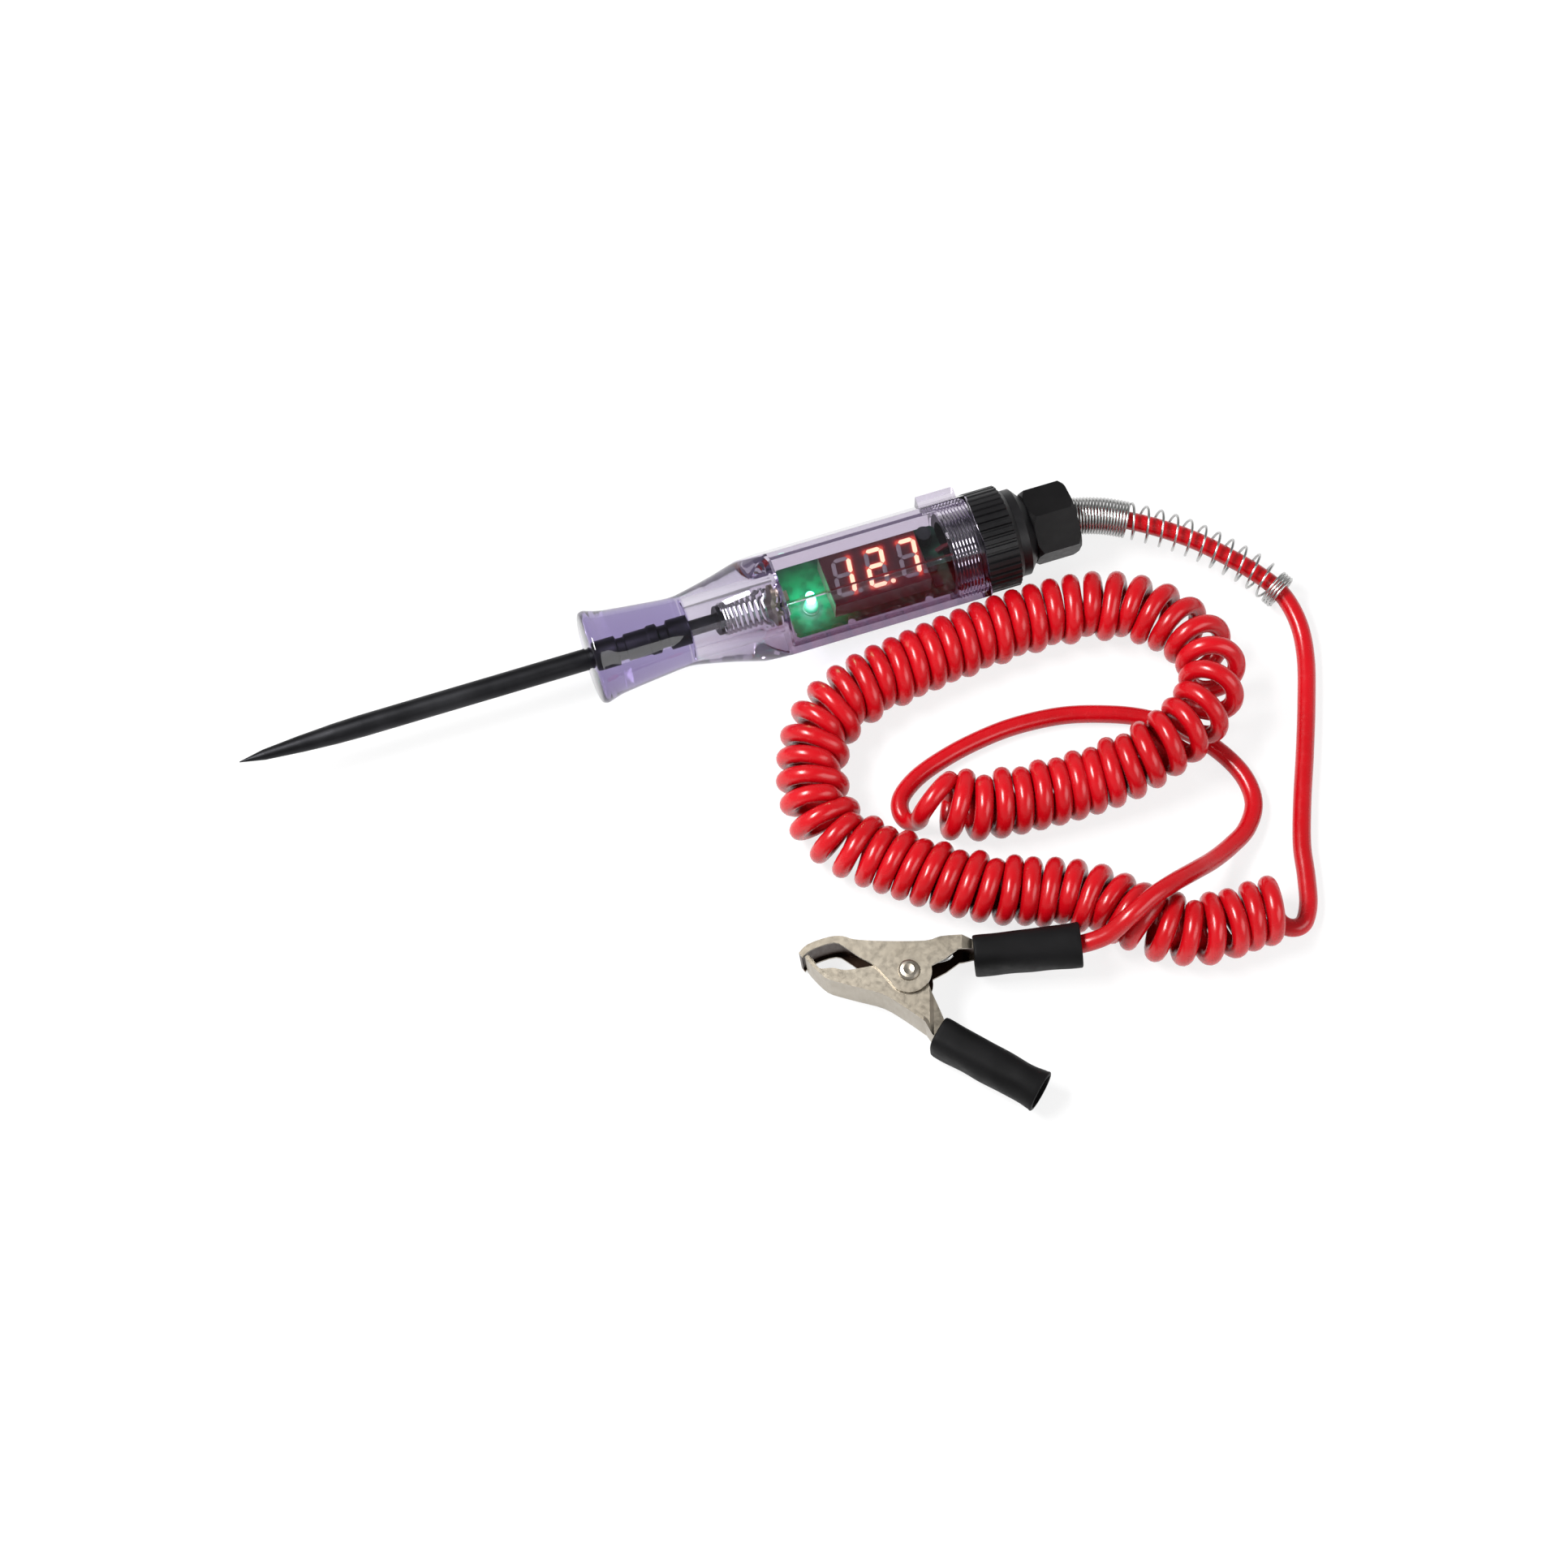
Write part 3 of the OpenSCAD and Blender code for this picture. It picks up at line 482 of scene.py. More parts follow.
# The digits' shift on the face, what a bar leaves free at each end, and the points' place and radius
DIGITS_SHIFT, BAR_GAP, POINT_GAP, POINT_R = 0.4, 0.12, 0.75, 0.5
# The ends of a digit's bars, in halves of its width and height
BARS = {"a": ((-1, 1), (1, 1)), "b": ((1, 1), (1, 0)), "c": ((1, 0), (1, -1)),
        "d": ((-1, -1), (1, -1)), "e": ((-1, 0), (-1, -1)), "f": ((-1, 1), (-1, 0)),
        "g": ((-1, 0), (1, 0))}
# What is lit: 1, 2 and 7, and the point behind the middle digit
LIT_BARS = ["bc", "abdeg", "abc"]
LIT_POINT = 1
# Distance from a lit bar's middle line at which its glow starts to fade, and how fast
GLOW_FROM, GLOW_FADE = 0.5, 0.6


def digit_place(digit, x, y):
    """A place on a slanted digit, in mm from the face's centre."""
    return Vector((x + y * SLANT + (digit - 1) * DIGIT_PITCH + DIGITS_SHIFT, y))


def bar_ends(lit):
    """Both ends of each lit or unlit bar."""
    return [[digit_place(digit, x * HALF_W, y * HALF_H) for x, y in ends]
            for digit, shining in enumerate(LIT_BARS) for bar, ends in BARS.items()
            if (bar in shining) == lit]


def point_places(lit):
    """The lit point, or the unlit ones."""
    return [digit_place(digit, DIGIT_W / 2 + POINT_GAP, -HALF_H) for digit in range(len(LIT_BARS))
            if (digit == LIT_POINT) == lit]


def distance(q, a, b):
    """Distance from a point to the line between two ends."""
    d = b - a
    f = min(max((q - a).dot(d) / d.length_squared, 0), 1) if d.length > 0 else 0
    return (q - a - d * f).length


def make_display():
    """A box with a small bevel, whose face is a fine grid that carries the lit bars' glow."""
    columns, rows, bevel = 126, 62, 0.15
    width = columns + 1
    lights = bar_ends(True) + [[spot, spot] for spot in point_places(True)]
    verts, glow = [], []
    for j in range(rows + 1):
        for i in range(width):
            q = Vector(((i / columns - 0.5) * (DISPLAY_L - 2 * bevel),
                        (j / rows - 0.5) * (DISPLAY_W - 2 * bevel)))
            near = min(distance(q, a, b) for a, b in lights)
            glow.append(math.exp(-max(near - GLOW_FROM, 0) / GLOW_FADE))
            verts.append((FACE.x + q.x, FACE.y + q.y, FACE.z))
    faces = []
    for j in range(rows):
        for k in range(j * width, j * width + columns):
            faces.append((k, k + 1, k + width + 1, k + width))
    rim = list(range(width))
    rim += [j * width + columns for j in range(1, rows + 1)]
    rim += [rows * width + i for i in range(columns - 1, -1, -1)]
    rim += [j * width for j in range(rows - 1, 0, -1)]
    base, count = len(verts), len(rim)
    for drop in (bevel, DISPLAY_H):
        for k in rim:
            x, y = verts[k][0] - FACE.x, verts[k][1] - FACE.y
            verts.append((FACE.x + x * DISPLAY_L / (DISPLAY_L - 2 * bevel),
                          FACE.y + y * DISPLAY_W / (DISPLAY_W - 2 * bevel), FACE.z - drop))
            glow.append(0.0)
    for k in range(count):
        after = (k + 1) % count
        faces.append((rim[k], base + k, base + after, rim[after]))
        faces.append((base + k, base + count + k, base + count + after, base + after))
    faces.append(tuple(base + count + k for k in range(count - 1, -1, -1)))
    body = new_object("display_body", verts, faces, smooth=False)
    layer = body.data.attributes.new("glow", "FLOAT", "POINT")
    layer.data.foreach_set("value", glow)
    return body


def make_bars(name, lit):
    """The lit or unlit bars with pointed ends, and points, raised a little from the face."""
    low, high, half = FACE.z - 0.05, FACE.z + 0.1, SEGMENT_W / 2
    verts, faces = [], []
    for a, b in bar_ends(lit):
        upright = a.y != b.y
        at = FACE.xy + (a + b) / 2
        reach = abs(b.y - a.y if upright else b.x - a.x) / 2 - BAR_GAP
        turn = math.radians(90 - SLANT_DEG) if upright else 0
        corners = [(-reach, 0), (-reach + half, -half), (reach - half, -half), (reach, 0),
                   (reach - half, half), (-reach + half, half)]
        outline = [(at.x + u * math.cos(turn) - v * math.sin(turn),
                    at.y + u * math.sin(turn) + v * math.cos(turn)) for u, v in corners]
        slab(verts, faces, outline, low, high)
    for spot in point_places(lit):
        slab(verts, faces, circle(FACE.xy + spot, POINT_R, 20), low, high)
    return new_object(name, verts, faces, smooth=False)


def make_board():
    """Circuit board with a stepped front, clipped corners and half-round notches."""
    start, stop = BOARD_AT - MIDDLE, BOARD_END - MIDDLE
    near, far, clip, notch = -8.3, 6.6, 0.6, 0.9
    outline = [(start + clip, near)]
    for x in (start + 12, stop - 6):
        bow = [math.pi * k / 8 for k in range(8, -1, -1)]
        outline += [(x + notch * math.cos(a), near + notch * math.sin(a)) for a in bow]
    outline += [(stop - clip, near), (stop, near + clip), (stop, far - clip), (stop - clip, far),
                (start + clip, far), (start, far - clip), (start, 3.4), (start + 0.5, 3.2),
                (start + 0.5, -3.2), (start, -3.4), (start, near + clip)]
    verts, faces = [], []
    slab(verts, faces, outline, BOARD_Z - BOARD_T, BOARD_Z)
    return new_object("board", verts, faces, smooth=False)


def make_lamp():
    """A 3 mm lamp: a dome on a short barrel with a rim at its foot."""
    radius, barrel, quarter, sides = 1.5, 1.8, 12, 36
    bow = [math.pi / 2 * k / quarter for k in range(quarter)]
    profile = [(1.75, 0), (1.75, 0.6), (1.65, 0.7), (radius, 0.75)]
    profile += [(radius * math.cos(a), barrel + radius * math.sin(a)) for a in bow]
    verts = [(x, y, LAMP.z + z) for r, z in profile for x, y in circle(LAMP, r, sides)]
    tip, last = len(verts), len(verts) - sides
    verts.append((LAMP.x, LAMP.y, LAMP.z + barrel + radius))
    faces = lids(len(profile), sides)[:1] + bands(len(profile), sides)
    faces += [(last + k, last + (k + 1) % sides, tip) for k in range(sides)]
    dome = new_object("lamp_dome", verts, faces)
    dome.data.set_sharp_from_angle(angle=math.radians(40))
    return dome


display = make_display()
lit_bars = make_bars("lit_bars", True)
dark_bars = make_bars("dark_bars", False)
board = make_board()
lamp_dome = make_lamp()
for piece, node, slot in (
        (display, "display_case", "display"), (lit_bars, "lit_segments", "segments_lit"),
        (dark_bars, "dark_segments", "segments_dark"), (board, "circuit_board", "board"),
        (lamp_dome, "indicator_led", "led")):
    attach(piece, "tester")
    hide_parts(node)


# materials

class Tree:
    """An emptied node tree, with short ways to add nodes and links."""

    def __init__(self, tree):
        self.tree = tree
        tree.nodes.clear()

    def node(self, kind, **inputs):
        n = self.tree.nodes.new(kind)
        for key, value in inputs.items():
            n.inputs[key.replace("_", " ")].default_value = value
        return n

    def link(self, a, b):
        self.tree.links.new(a, b)

    def geometry(self, name):
        return self.node("ShaderNodeNewGeometry").outputs[name]

    def ray(self, name):
        return self.node("ShaderNodeLightPath").outputs[name]

    def part(self, source, axis):
        """One coordinate of a place or direction."""
        n = self.node("ShaderNodeSeparateXYZ")
        self.link(source, n.inputs[0])
        return n.outputs[axis]

    def operation(self, node, kind, a, b):
        n = self.node(node)
        n.operation = kind
        self.link(a, n.inputs[0])
        if isinstance(b, bpy.types.NodeSocket):
            self.link(b, n.inputs[1])
        else:
            n.inputs[1].default_value = b
        return n

    def maths(self, kind, a, b):
        """Maths on two values, of which the second may be a plain number."""
        return self.operation("ShaderNodeMath", kind, a, b).outputs["Value"]

    def vectors(self, kind, a, b):
        """Maths on two vectors, of which the second may be plain numbers."""
        answer = "Value" if kind in ("DOT_PRODUCT", "DISTANCE") else "Vector"
        return self.operation("ShaderNodeVectorMath", kind, a, b).outputs[answer]

    def level(self, source, low, high, at=(0.3, 0.7)):
        """The source's range given by at, stretched to low and high and held at both ends."""
        n = self.node("ShaderNodeMapRange", From_Min=at[0], From_Max=at[1], To_Min=low, To_Max=high)
        self.link(source, n.inputs["Value"])
        return n.outputs["Result"]

    def mix(self, factor, first, second):
        """The first shader where the factor is 0, the second where it is 1."""
        n = self.node("ShaderNodeMixShader")
        self.link(factor, n.inputs[0])
        self.link(first.outputs[0], n.inputs[1])
        self.link(second.outputs[0], n.inputs[2])
        return n


class Paint(Tree):
    """A material's node tree."""

    def __init__(self, name):
        self.material = bpy.data.materials.new(name)
        self.material.use_nodes = True
        super().__init__(self.material.node_tree)
        self.out = self.node("ShaderNodeOutputMaterial")

    def principled(self, **values):
        return self.node("ShaderNodeBsdfPrincipled", **values)

    def surface(self, shader):
        self.link(shader.outputs[0], self.out.inputs["Surface"])
        return self.material

    def noise(self, scale, detail=3.0, roughness=0.5, stretch=(1, 1, 1)):
        n = self.node("ShaderNodeTexNoise", Scale=scale, Detail=detail, Roughness=roughness)
        mapping = self.node("ShaderNodeMapping", Scale=stretch)
        self.link(self.node("ShaderNodeTexCoord").outputs["Object"], mapping.inputs["Vector"])
        self.link(mapping.outputs[0], n.inputs["Vector"])
        return n.outputs["Fac"]

    def ramp(self, source, stops):
        n = self.node("ShaderNodeValToRGB")
        elements = n.color_ramp.elements
        while len(elements) < len(stops):
            elements.new(0.5)
        for element, (at, colour) in zip(elements, stops):
            element.position = at
            element.color = (*colour, 1)
        self.link(source, n.inputs["Fac"])
        return n.outputs["Color"]

    def bump(self, height, strength, distance):
        n = self.node("ShaderNodeBump", Strength=strength, Distance=distance)
        self.link(height, n.inputs["Height"])
        return n.outputs["Normal"]


def plastic(name, low, high, rough=(0.35, 0.45), grain=900, depth=0.00002, strength=0.3, **more):
    """A moulded plastic or rubber: two near colours, fine grain in the gloss and the surface."""
    p = Paint(name)
    s = p.principled(**more)
    fine = p.noise(grain, 4)
    broad = p.noise(90, 2)
    p.link(p.ramp(broad, [(0.35, low), (0.65, high)]), s.inputs["Base Color"])
    p.link(p.level(fine, *rough), s.inputs["Roughness"])
    p.link(p.bump(fine, strength, depth), s.inputs["Normal"])
    return p.surface(s)


def metal(name, low, high, rough=(0.25, 0.4), stretch=(1, 1, 1), grain=600, strength=0.15):
    """A plated or drawn metal: streaks along one way in the gloss and the surface."""
    p = Paint(name)
    s = p.principled(Metallic=1.0)
    streak = p.noise(grain, 4, 0.6, stretch)
    broad = p.noise(120, 2)
    p.link(p.ramp(broad, [(0.3, low), (0.7, high)]), s.inputs["Base Color"])
    p.link(p.level(streak, *rough), s.inputs["Roughness"])
    p.link(p.bump(streak, strength, 0.00002), s.inputs["Normal"])
    return p.surface(s)


def jaw_metal(name, inward):
    """Satin nickel, with painted shade in dark brown inside the channel: on the web's inner faces and on
    the low plate's upper face. Inward is 1 or -1 on the clip's Y.
    """
    inside, plate_top, blur = 4.7 * MM, -4.2 * MM, 0.05 * MM
    p = Paint(name)
    s = p.principled(Metallic=1.0)
    streak = p.noise(900, 4, 0.6, (1, 1, 0.3))
    broad = p.noise(110, 2)
    p.link(p.level(streak, 0.3, 0.42), s.inputs["Roughness"])
    p.link(p.bump(streak, 0.08, 0.00002), s.inputs["Normal"])
    nickel = p.ramp(broad, [(0.3, (0.36, 0.315, 0.25)), (0.7, (0.42, 0.375, 0.305))])
    turn = CLIP.to_3x3()
    up, inwards = tuple(turn @ Vector((0, 0, 1))), tuple(turn @ Vector((0, inward, 0)))
    normal = p.geometry("Normal")
    from_rivet = p.vectors("SUBTRACT", p.geometry("Position"), tuple(CLIP.translation * MM))
    height = p.vectors("DOT_PRODUCT", from_rivet, up)
    # Masks of painted shade: inward faces between the flanges, and upward faces below the top of the low
    # plate.
    between = p.maths("MULTIPLY", p.level(height, 1, 0, (inside, inside + blur)),
                      p.level(height, 0, 1, (-inside - blur, -inside)))
    faces_in = p.level(p.vectors("DOT_PRODUCT", normal, inwards), 0, 1, (0.2, 0.4))
    faces_up = p.level(p.vectors("DOT_PRODUCT", normal, up), 0, 1, (0.6, 0.8))
    web_shade = p.maths("MULTIPLY", between, faces_in)
    plate_shade = p.maths("MULTIPLY", p.level(height, 1, 0, (plate_top, plate_top + 2 * blur)), faces_up)
    mix = p.node("ShaderNodeMix")
    mix.data_type = "RGBA"
    bare, painted_shade = [q for q in mix.inputs if q.type == "RGBA"]
    p.link(p.maths("MAXIMUM", web_shade, plate_shade), mix.inputs["Factor"])
    p.link(nickel, bare)
    # Dark brown painted shade for the inside of the channel.
    painted_shade.default_value = (0.06, 0.035, 0.025, 1)
    p.link([q for q in mix.outputs if q.type == "RGBA"][0], s.inputs["Base Color"])
    return p.surface(s)


def cord_material():
    p = Paint("cord_vinyl")
    s = p.principled(Specular_IOR_Level=0.5)
    broad = p.noise(60, 3)
    fine = p.noise(700, 3)
    red = p.ramp(broad, [(0.3, (0.38, 0.001, 0.004)), (0.7, (0.48, 0.002, 0.007))])
    p.link(red, s.inputs["Base Color"])
    p.link(p.level(fine, 0.2, 0.3), s.inputs["Roughness"])
    p.link(p.bump(fine, 0.12, 0.00004), s.inputs["Normal"])
    return p.surface(s)


def clear_material():
    """Clear moulding: tinted glass, lilac in the solid nose and greyer round the chamber,
    with painted shade at its rims and painted shade for the dark coil and board reflected in
    the side that the coil lies on. Its shadow is pale, and light that has gone through many surfaces
    ends in a plain lilac grey."""
    p = Paint("clear_lilac")
    s = p.principled(Transmission_Weight=1.0, IOR=1.49, Specular_IOR_Level=0.5)
    fine = p.noise(260, 3)
    p.link(p.level(fine, 0.02, 0.06), s.inputs["Roughness"])
    p.link(p.bump(fine, 0.05, 0.00005), s.inputs["Normal"])
    place = p.geometry("Position")
    nose = (NECK_AT - MIDDLE - 0.2) * MM
    cone = nose + 20 * MM
    tint = p.ramp(p.level(p.part(place, "X"), 0, 1, (nose, cone)),
                  [(0, (0.43, 0.38, 0.59)), (0.02, (0.86, 0.835, 0.895)), (0.6, (0.86, 0.835, 0.895)),
                   (1, (0.8, 0.755, 0.83))])
    # Painted shade: darker towards -Y, the side the coil lies on, for the dark coil and board reflected
    # there.
    shade = p.ramp(p.level(p.part(place, "Y"), 0, 1, (-11.5 * MM, -5.5 * MM)),
                   [(0, (0.27, 0.2, 0.29)), (0.5, (0.62, 0.56, 0.65)), (1, (1, 1, 1))])
    # Painted shade at the rims, where the surface turns away from the eye.
    weight = p.node("ShaderNodeLayerWeight", Blend=0.5)
    rim = p.ramp(weight.outputs["Facing"], [(0.62, (1, 1, 1)), (0.92, (0.3, 0.26, 0.34))])
    tint_and_painted_shade = p.vectors("MULTIPLY", p.vectors("MULTIPLY", tint, shade), rim)
    p.link(tint_and_painted_shade, s.inputs["Base Color"])
    pale = p.node("ShaderNodeBsdfTransparent", Color=(0.9, 0.89, 0.96, 1))
    fill = p.node("ShaderNodeEmission", Color=(0.3, 0.26, 0.34, 1), Strength=1.0)
    glass = p.mix(p.ray("Is Shadow Ray"), s, pale)
    whole = p.mix(p.maths("GREATER_THAN", p.ray("Ray Depth"), 5.5), glass, fill)
    volume = p.node("ShaderNodeVolumeAbsorption", Color=(0.4, 0.33, 0.5, 1), Density=36)
    p.link(volume.outputs[0], p.out.inputs["Volume"])
    return p.surface(whole)


def lit_material():
    """The lit bars and point."""
    p = Paint("lit_segment")
    s = p.principled(Base_Color=(0.4, 0.22, 0.14, 1), Emission_Strength=1.35, Roughness=0.3)
    warm = p.ramp(p.noise(500, 2), [(0.3, (0.9, 0.612, 0.378)), (0.7, (1.0, 0.68, 0.42))])
    p.link(warm, s.inputs["Emission Color"])
    return p.surface(s)


def lamp_material():
    """Green dome, white-hot where it faces the eye and dark at its foot."""
    p = Paint("green_lamp")
    s = p.principled(Roughness=0.3)
    foot, full = (LAMP.z + 0.7) * MM, (LAMP.z + 2) * MM
    p.link(p.level(p.part(p.geometry("Position"), "Z"), 0.2, 1.2, (foot, full)),
           s.inputs["Emission Strength"])
    fine = p.noise(500, 2)
    p.link(p.ramp(fine, [(0.3, (0.1, 0.5, 0.25)), (0.7, (0.14, 0.6, 0.3))]), s.inputs["Base Color"])
    weight = p.node("ShaderNodeLayerWeight", Blend=0.4)
    p.link(p.ramp(weight.outputs["Facing"], [(0.1, (0.75, 1.0, 0.9)), (0.35, (0.1, 0.95, 0.5)),
                                             (0.7, (0.0, 0.5, 0.2))]), s.inputs["Emission Color"])
    return p.surface(s)


def display_material():
    """Dark red face, lit red round the bars, and olive sides."""
    p = Paint("display_red_black")
    s = p.principled(Emission_Strength=1.0, Specular_IOR_Level=0.3)
    fine = p.noise(700, 3)
    upward = p.part(p.geometry("Normal"), "Z")
    p.link(p.ramp(upward, [(0.3, (0.09, 0.088, 0.066)), (0.7, (0.024, 0.006, 0.007))]),
           s.inputs["Base Color"])
    p.link(p.level(fine, 0.3, 0.4), s.inputs["Roughness"])
    glow = p.node("ShaderNodeAttribute")
    glow.attribute_name = "glow"
    p.link(p.ramp(glow.outputs["Fac"], [(0, (0.006, 0.001, 0.001)), (0.35, (0.08, 0.003, 0.004)),
                                        (0.75, (0.34, 0.012, 0.008)), (1, (0.8, 0.08, 0.04))]),
           s.inputs["Emission Color"])
    return p.surface(s)


def board_material():
    """Green solder mask over copper, with a painted glow of the lamp's light on the board round the lamp
    that stands on it.
    """
    p = Paint("board_green")
    s = p.principled(Emission_Strength=1.0, Specular_IOR_Level=0.3)
    fine = p.noise(500, 4)
    copper = p.noise(160, 1)
    p.link(p.ramp(copper, [(0.42, (0.003, 0.02, 0.01)), (0.5, (0.008, 0.045, 0.02)),
                           (0.58, (0.004, 0.026, 0.012))]), s.inputs["Base Color"])
    p.link(p.level(fine, 0.35, 0.5), s.inputs["Roughness"])
    # Painted light: a green pool of the lamp's light that fades from 1 to 10.5 mm away from the lamp.
    reach = p.vectors("DISTANCE", p.geometry("Position"), tuple(LAMP * MM))
    near = p.level(reach, 1.0, 0.0, (1 * MM, 10.5 * MM))
    p.link(p.ramp(near, [(0, (0, 0, 0)), (0.2, (0.0, 0.13, 0.03)), (0.55, (0.0, 0.36, 0.1)),
                         (0.8, (0.0, 0.7, 0.24)), (1, (0.35, 1.0, 0.7))]), s.inputs["Emission Color"])
    # Noise mottles the painted glow's strength.
    p.link(p.level(p.noise(420, 2), 0.55, 1.0, (0.4, 0.55)), s.inputs["Emission Strength"])
    return p.surface(s)


def dress(node, material):
    """Gives a CAD node, by its name, or a piece its material."""
    piece = nodes[node] if isinstance(node, str) else node
    piece.data.materials.clear()
    piece.data.materials.append(material)


CORD = cord_material()
CLEAR = clear_material()
BLACKENED = metal("blackened_steel", (0.02, 0.02, 0.022), (0.035, 0.035, 0.038), (0.38, 0.52),
                  (0.2, 1, 1))
SPRING = metal("spring_steel", (0.45, 0.45, 0.45), (0.58, 0.58, 0.57), (0.18, 0.3))
NICKEL = metal("satin_nickel", (0.36, 0.32, 0.265), (0.42, 0.38, 0.32), (0.3, 0.42),
               (1, 1, 0.3), 900, 0.08)
BRASS = metal("brass", (0.2, 0.17, 0.12), (0.28, 0.24, 0.17), (0.3, 0.45))
BLACK = plastic("satin_black", (0.004, 0.0038, 0.0045), (0.008, 0.0076, 0.0085), (0.36, 0.46),
                Specular_IOR_Level=0.3)
NUT_BLACK = plastic("nut_black", (0.003, 0.0028, 0.003), (0.006, 0.0056, 0.006), (0.34, 0.44),
                    Specular_IOR_Level=0.16)
SLEEVE = plastic("sleeve_vinyl", (0.0035, 0.0034, 0.0036), (0.0065, 0.0063, 0.0068), (0.5, 0.62),
                 500, 0.00005, 0.4, Specular_IOR_Level=0.11)
RUBBER = plastic("rubber", (0.01, 0.01, 0.01), (0.02, 0.02, 0.02), (0.6, 0.7))
BOARD = board_material()
CHIP = plastic("chip_black", (0.012, 0.012, 0.013), (0.02, 0.02, 0.02), (0.45, 0.6))
CERAMIC = plastic("ceramic", (0.012, 0.014, 0.012), (0.03, 0.03, 0.025), (0.4, 0.5))
CAN = metal("capacitor_can", (0.03, 0.035, 0.035), (0.06, 0.065, 0.065), (0.35, 0.5))
DISPLAY = display_material()
GHOST = plastic("dark_segment", (0.1, 0.08, 0.085), (0.13, 0.105, 0.11), (0.3, 0.4))
LIT = lit_material()
LED = lamp_material()
WIRE = plastic("inner_wire", (0.05, 0.002, 0.004), (0.09, 0.004, 0.006), (0.35, 0.5))
UPPER_NICKEL = jaw_metal("upper_jaw_nickel", -1)
LOWER_NICKEL = jaw_metal("lower_jaw_nickel", 1)

for node, material in (
        ("probe", BLACKENED), ("contact_spring", SPRING), ("contact_cup", BRASS),
        ("controller_chip", CHIP), ("resistors", CERAMIC), ("capacitor", CAN),
        ("inner_wire", WIRE), ("end_cap", BLACK), ("cord_clamp", RUBBER), ("gland_nut", NUT_BLACK),
        ("clip_upper_jaw", UPPER_NICKEL), ("clip_lower_jaw", LOWER_NICKEL), ("clip_rivet", NICKEL),
        ("cable_crimp", NICKEL), (lead, CORD), (relief, SPRING), (display, DISPLAY),
        (lit_bars, LIT), (dark_bars, GHOST), (board, BOARD), (lamp_dome, LED),
        (spring_coil, SPRING), (spring_leg, SPRING), (upper_vinyl, SLEEVE), (lower_vinyl, SLEEVE)):
    dress(node, material)


# the clear handle

LIP_R, GRIP_R, WAIST_R, SWELL_R = 9.9, 8.55, 7.45, 9.25
SWELL_AT, CONE_END, CONE_R = 29, 42.2, 12.83
CORNER_R, CHAMBER_CORNER_R, EDGE = 0.45, 0.3, 0.35
CORNER_OUT = HEX_AF / 2 / math.cos(math.pi / 6)
# The side lug: its length, its height over the barrel's corner and its half width in degrees
LUG_L, LUG_H, LUG_HALF = 8.3, 1.1, 8.3
BORE_R, THREAD_R, THREAD_H, THREAD_TURNS = 8.6, 8.62, 0.12, 8
NECK_R = 4.5
EPS = 0.01


def hex_radius(angle, af, corner):
    """Radius of a hexagon with rounded corners, at an angle from one of them."""
    half, sixth = af / 2, math.pi / 6
    off_corner = abs((angle + sixth) % (2 * sixth) - sixth)
    off_flat = sixth - off_corner
    if off_flat <= math.atan((half - corner) * math.tan(sixth) / half):
        return half / math.cos(off_flat)
    reach = (half - corner) / math.cos(sixth)
    aside = reach * math.sin(off_corner)
    return reach * math.cos(off_corner) + math.sqrt(max(corner ** 2 - aside ** 2, 0))


def turned_line():
    """[distance behind the front face, radius] of the outside before the barrel's flats cut it."""
    line = spline([(0, LIP_R - 1.2, 0), (0.3, LIP_R - 0.35, 0), (1.2, LIP_R, 0), (2.4, LIP_R - 0.3, 0),
                   (4.6, GRIP_R + 0.45, 0), (8, GRIP_R, 0), (14, WAIST_R + 0.45, 0),
                   (19.4, WAIST_R, 0), (23, WAIST_R + 0.5, 0), (SWELL_AT, SWELL_R, 0)], 6)
    steps = 36
    cone = [(SWELL_AT + (CONE_END - SWELL_AT) * k / steps, SWELL_R + (CONE_R - SWELL_R) * k / steps)
            for k in range(1, steps + 1)]
    return [(p.x, p.y) for p in line] + cone


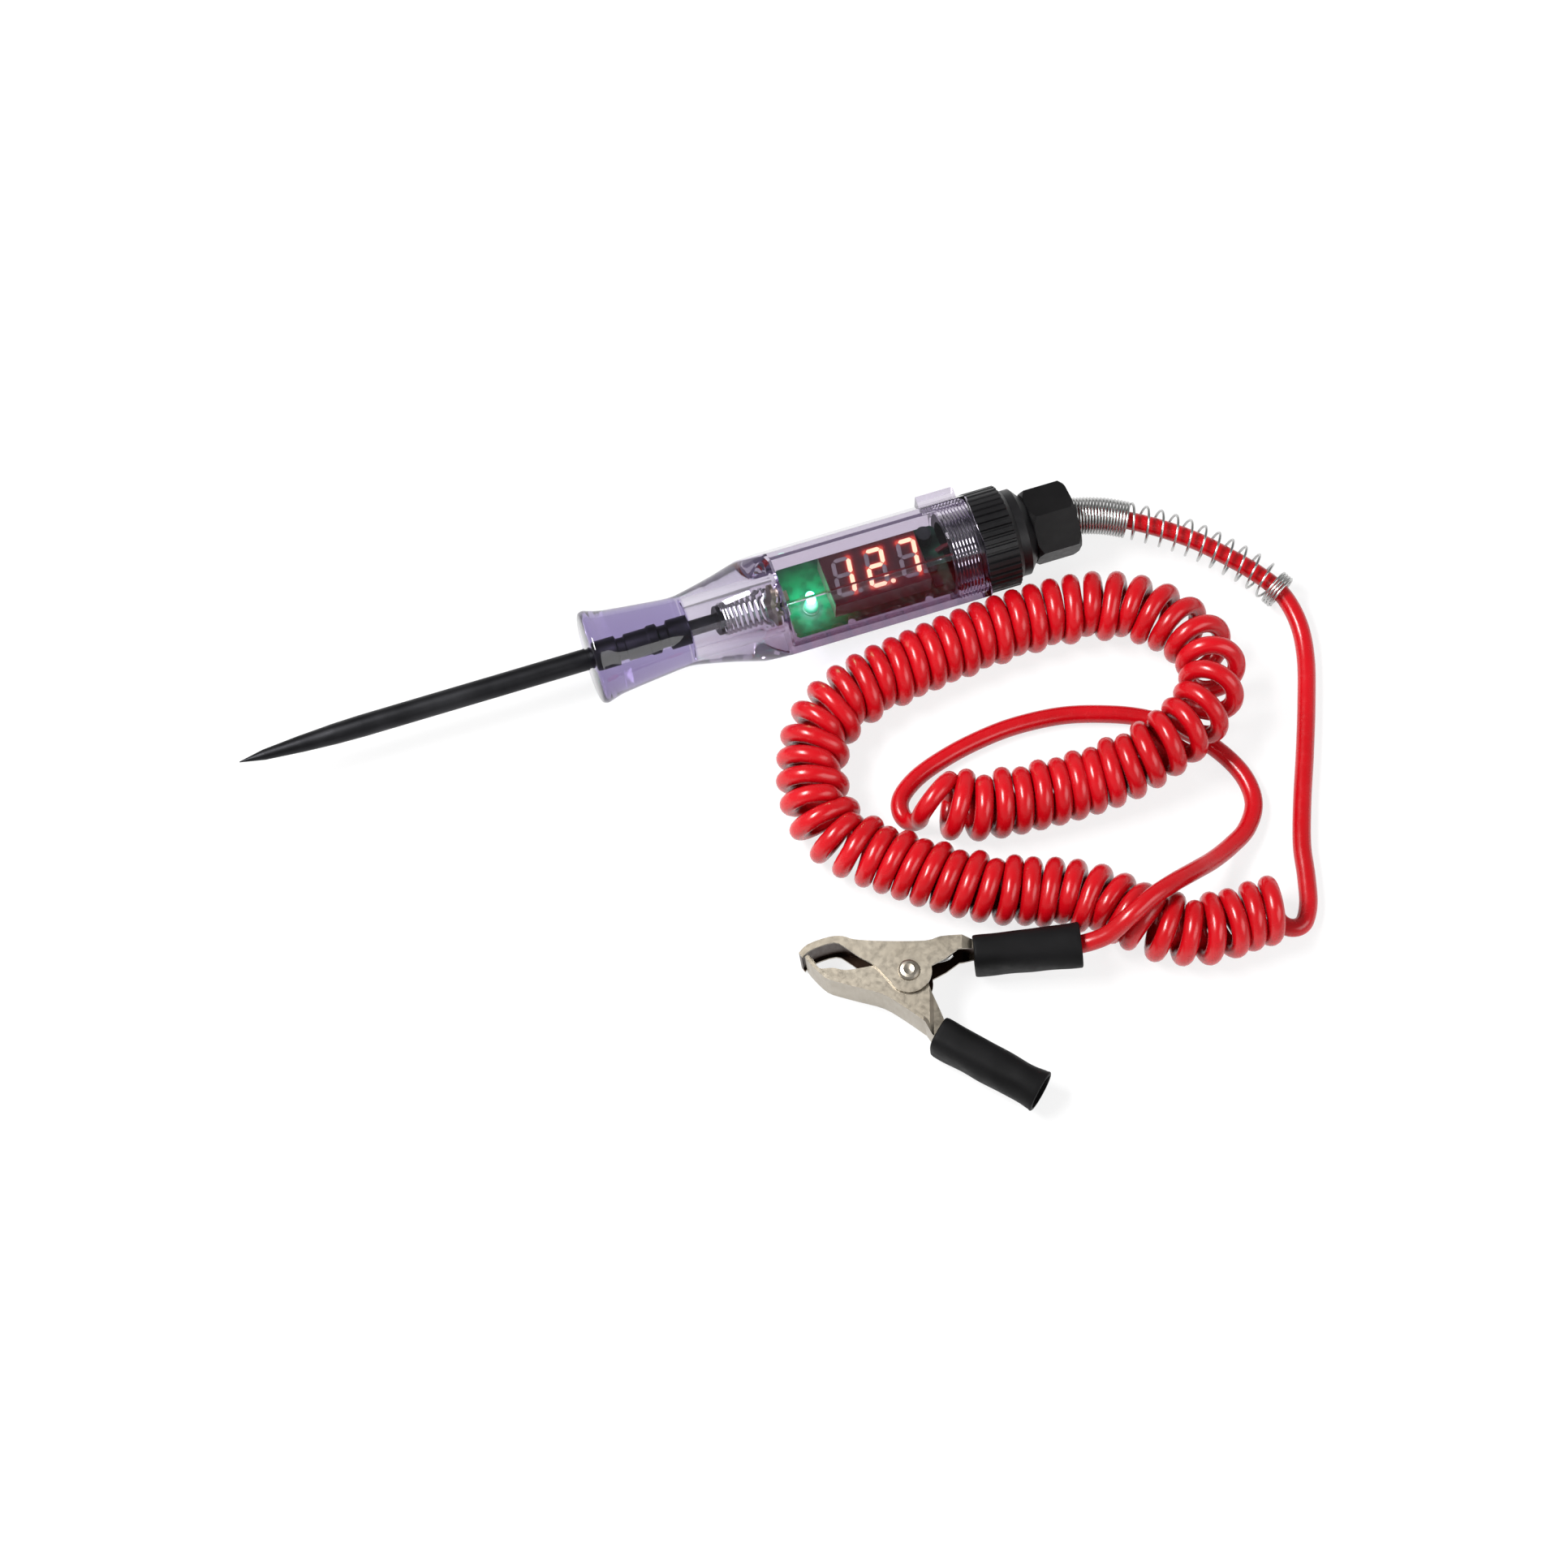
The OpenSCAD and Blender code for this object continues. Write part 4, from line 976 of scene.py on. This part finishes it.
def make_handle():
    """One closed skin in rings: the outside from the front face to the rear, and then the
    threaded bore, the chamber and the neck from the rear to the front."""
    lug_edges = {LUG_HALF, LUG_HALF + 0.5, 360 - LUG_HALF - 0.5, 360 - LUG_HALF}
    angles = [math.radians(a) for a in sorted({3.0 * k for k in range(120)} | lug_edges)]
    rings = []

    def ring(station, radius):
        rings.append([(station - MIDDLE, radius(a) * math.cos(a), AXIS_Z + radius(a) * math.sin(a))
                      for a in angles])

    def hexed(a):
        return hex_radius(a, HEX_AF, CORNER_R)

    def lugged(a):
        if math.cos(a) > 0 and abs(math.tan(a)) <= math.tan(math.radians(LUG_HALF + EPS)):
            return (CORNER_OUT + LUG_H) / math.cos(a)
        return hexed(a)

    def chamber(a):
        return hex_radius(a, CHAMBER_AF, CHAMBER_CORNER_R)

    for s, r in turned_line():
        ring(HANDLE_AT + s, lambda a, r=r: min(r, hexed(a)))
    ring(HANDLE_AT + 50, hexed)
    ring(HANDLE_AT + 60, hexed)
    ring(HANDLE_END - LUG_L - EPS, hexed)
    ring(HANDLE_END - LUG_L, lugged)
    ring(HANDLE_END - EDGE, lugged)
    ring(HANDLE_END, lambda a: lugged(a) - EDGE)
    ring(HANDLE_END, lambda a: THREAD_R + 0.08)
    thread_from, thread_to, per_turn = HANDLE_END - 0.4, BORE_AT + 0.6, 6
    ring(thread_from, lambda a: THREAD_R)
    count = THREAD_TURNS * per_turn
    for k in range(1, count + 1):
        ring(thread_from - (thread_from - thread_to) * k / count,
             lambda a, k=k: THREAD_R + THREAD_H * math.sin(2 * math.pi * k / per_turn + a))
    ring(BORE_AT, lambda a: BORE_R)
    ring(BORE_AT - EPS, chamber)
    ring(CHAMBER_AT + 0.5, chamber)
    ring(CHAMBER_AT, lambda a: chamber(a) - 0.5)
    ring(CHAMBER_AT, lambda a: NECK_R + 0.4)
    ring(CHAMBER_AT - 0.4, lambda a: NECK_R)
    ring(NECK_AT + 0.2, lambda a: NECK_R)
    ring(NECK_AT, lambda a: NECK_R - 0.2)
    faces = bands(len(rings), len(angles)) + lids(len(rings), len(angles))
    handle = new_object("clear_handle", [v for r in rings for v in r], faces)
    handle.data.set_sharp_from_angle(angle=math.radians(28))
    return handle


handle = make_handle()
dress(handle, CLEAR)
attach(handle, "tester")
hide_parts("handle")


# light and ground

def make_world():
    """White behind the object. The sky that lights it is darker overhead, and dimmer still
    in reflections."""
    world = bpy.data.worlds.new("world")
    world.use_nodes = True
    bpy.context.scene.world = world
    w = Tree(world.node_tree)
    out = w.node("ShaderNodeOutputWorld")
    white = w.node("ShaderNodeBackground", Color=(1, 1, 1, 1), Strength=1.0)
    sky = w.node("ShaderNodeBackground", Color=(1, 1, 1, 1))
    way = w.node("ShaderNodeTexCoord").outputs["Generated"]
    overhead = w.level(w.part(way, "Z"), 0.75, 0.28, (0.1, 0.9))
    gloss = w.level(w.ray("Is Glossy Ray"), 1.0, 0.6, (0, 1))
    w.link(w.maths("MULTIPLY", overhead, gloss), sky.inputs["Strength"])
    w.link(w.mix(w.ray("Is Camera Ray"), sky, white).outputs[0], out.inputs["Surface"])


def make_floor():
    """A matt floor that looks nearly white to the eye, in reflections and through the glass."""
    side = 1500
    floor = new_object("floor", [(-side, -side, 0), (side, -side, 0), (side, side, 0), (-side, side, 0)],
                       [(0, 1, 2, 3)], smooth=False)
    floor.location = (0, 0, -0.2 * MM)
    p = Paint("floor")
    matt = p.node("ShaderNodeBsdfDiffuse", Color=(0.9, 0.9, 0.9, 1))
    white = p.node("ShaderNodeEmission", Color=(1, 1, 1, 1), Strength=1.0)
    seen = p.maths("MAXIMUM", p.ray("Is Camera Ray"), p.ray("Is Transmission Ray"))
    seen = p.maths("MAXIMUM", seen, p.ray("Is Glossy Ray"))
    dress(floor, p.surface(p.mix(p.maths("MULTIPLY", seen, 0.8), matt, white)))


def area_light(name, at, size, power):
    """A rectangular light, in metres, that points at the middle of the part."""
    target = Vector((0.02, -0.04, 0))
    data = bpy.data.lights.new(name, "AREA")
    data.shape = "RECTANGLE"
    data.size, data.size_y = size
    data.energy = power
    light = bpy.data.objects.new(name, data)
    light.location = at
    light.rotation_euler = (target - Vector(at)).to_track_quat("-Z", "Y").to_euler()
    bpy.context.collection.objects.link(light)


def make_lamp_glow():
    """The lamp's own light on what stands round it, from just above its dome."""
    data = bpy.data.lights.new("lamp_glow", "POINT")
    data.energy = 0.004
    data.color = (0.1, 1.0, 0.45)
    data.shadow_soft_size = 1 * MM
    glow = bpy.data.objects.new("lamp_glow", data)
    glow.location = (LAMP + Vector((0, 0, 4.2))) * MM
    bpy.context.collection.objects.link(glow)


make_world()
make_floor()
area_light("key", (-0.4, 0.1, 0.75), (0.45, 0.22), 11)
area_light("fill", (0.5, -0.6, 0.6), (0.7, 0.5), 3.5)
make_lamp_glow()

bpy.context.scene.view_settings.view_transform = "Standard"
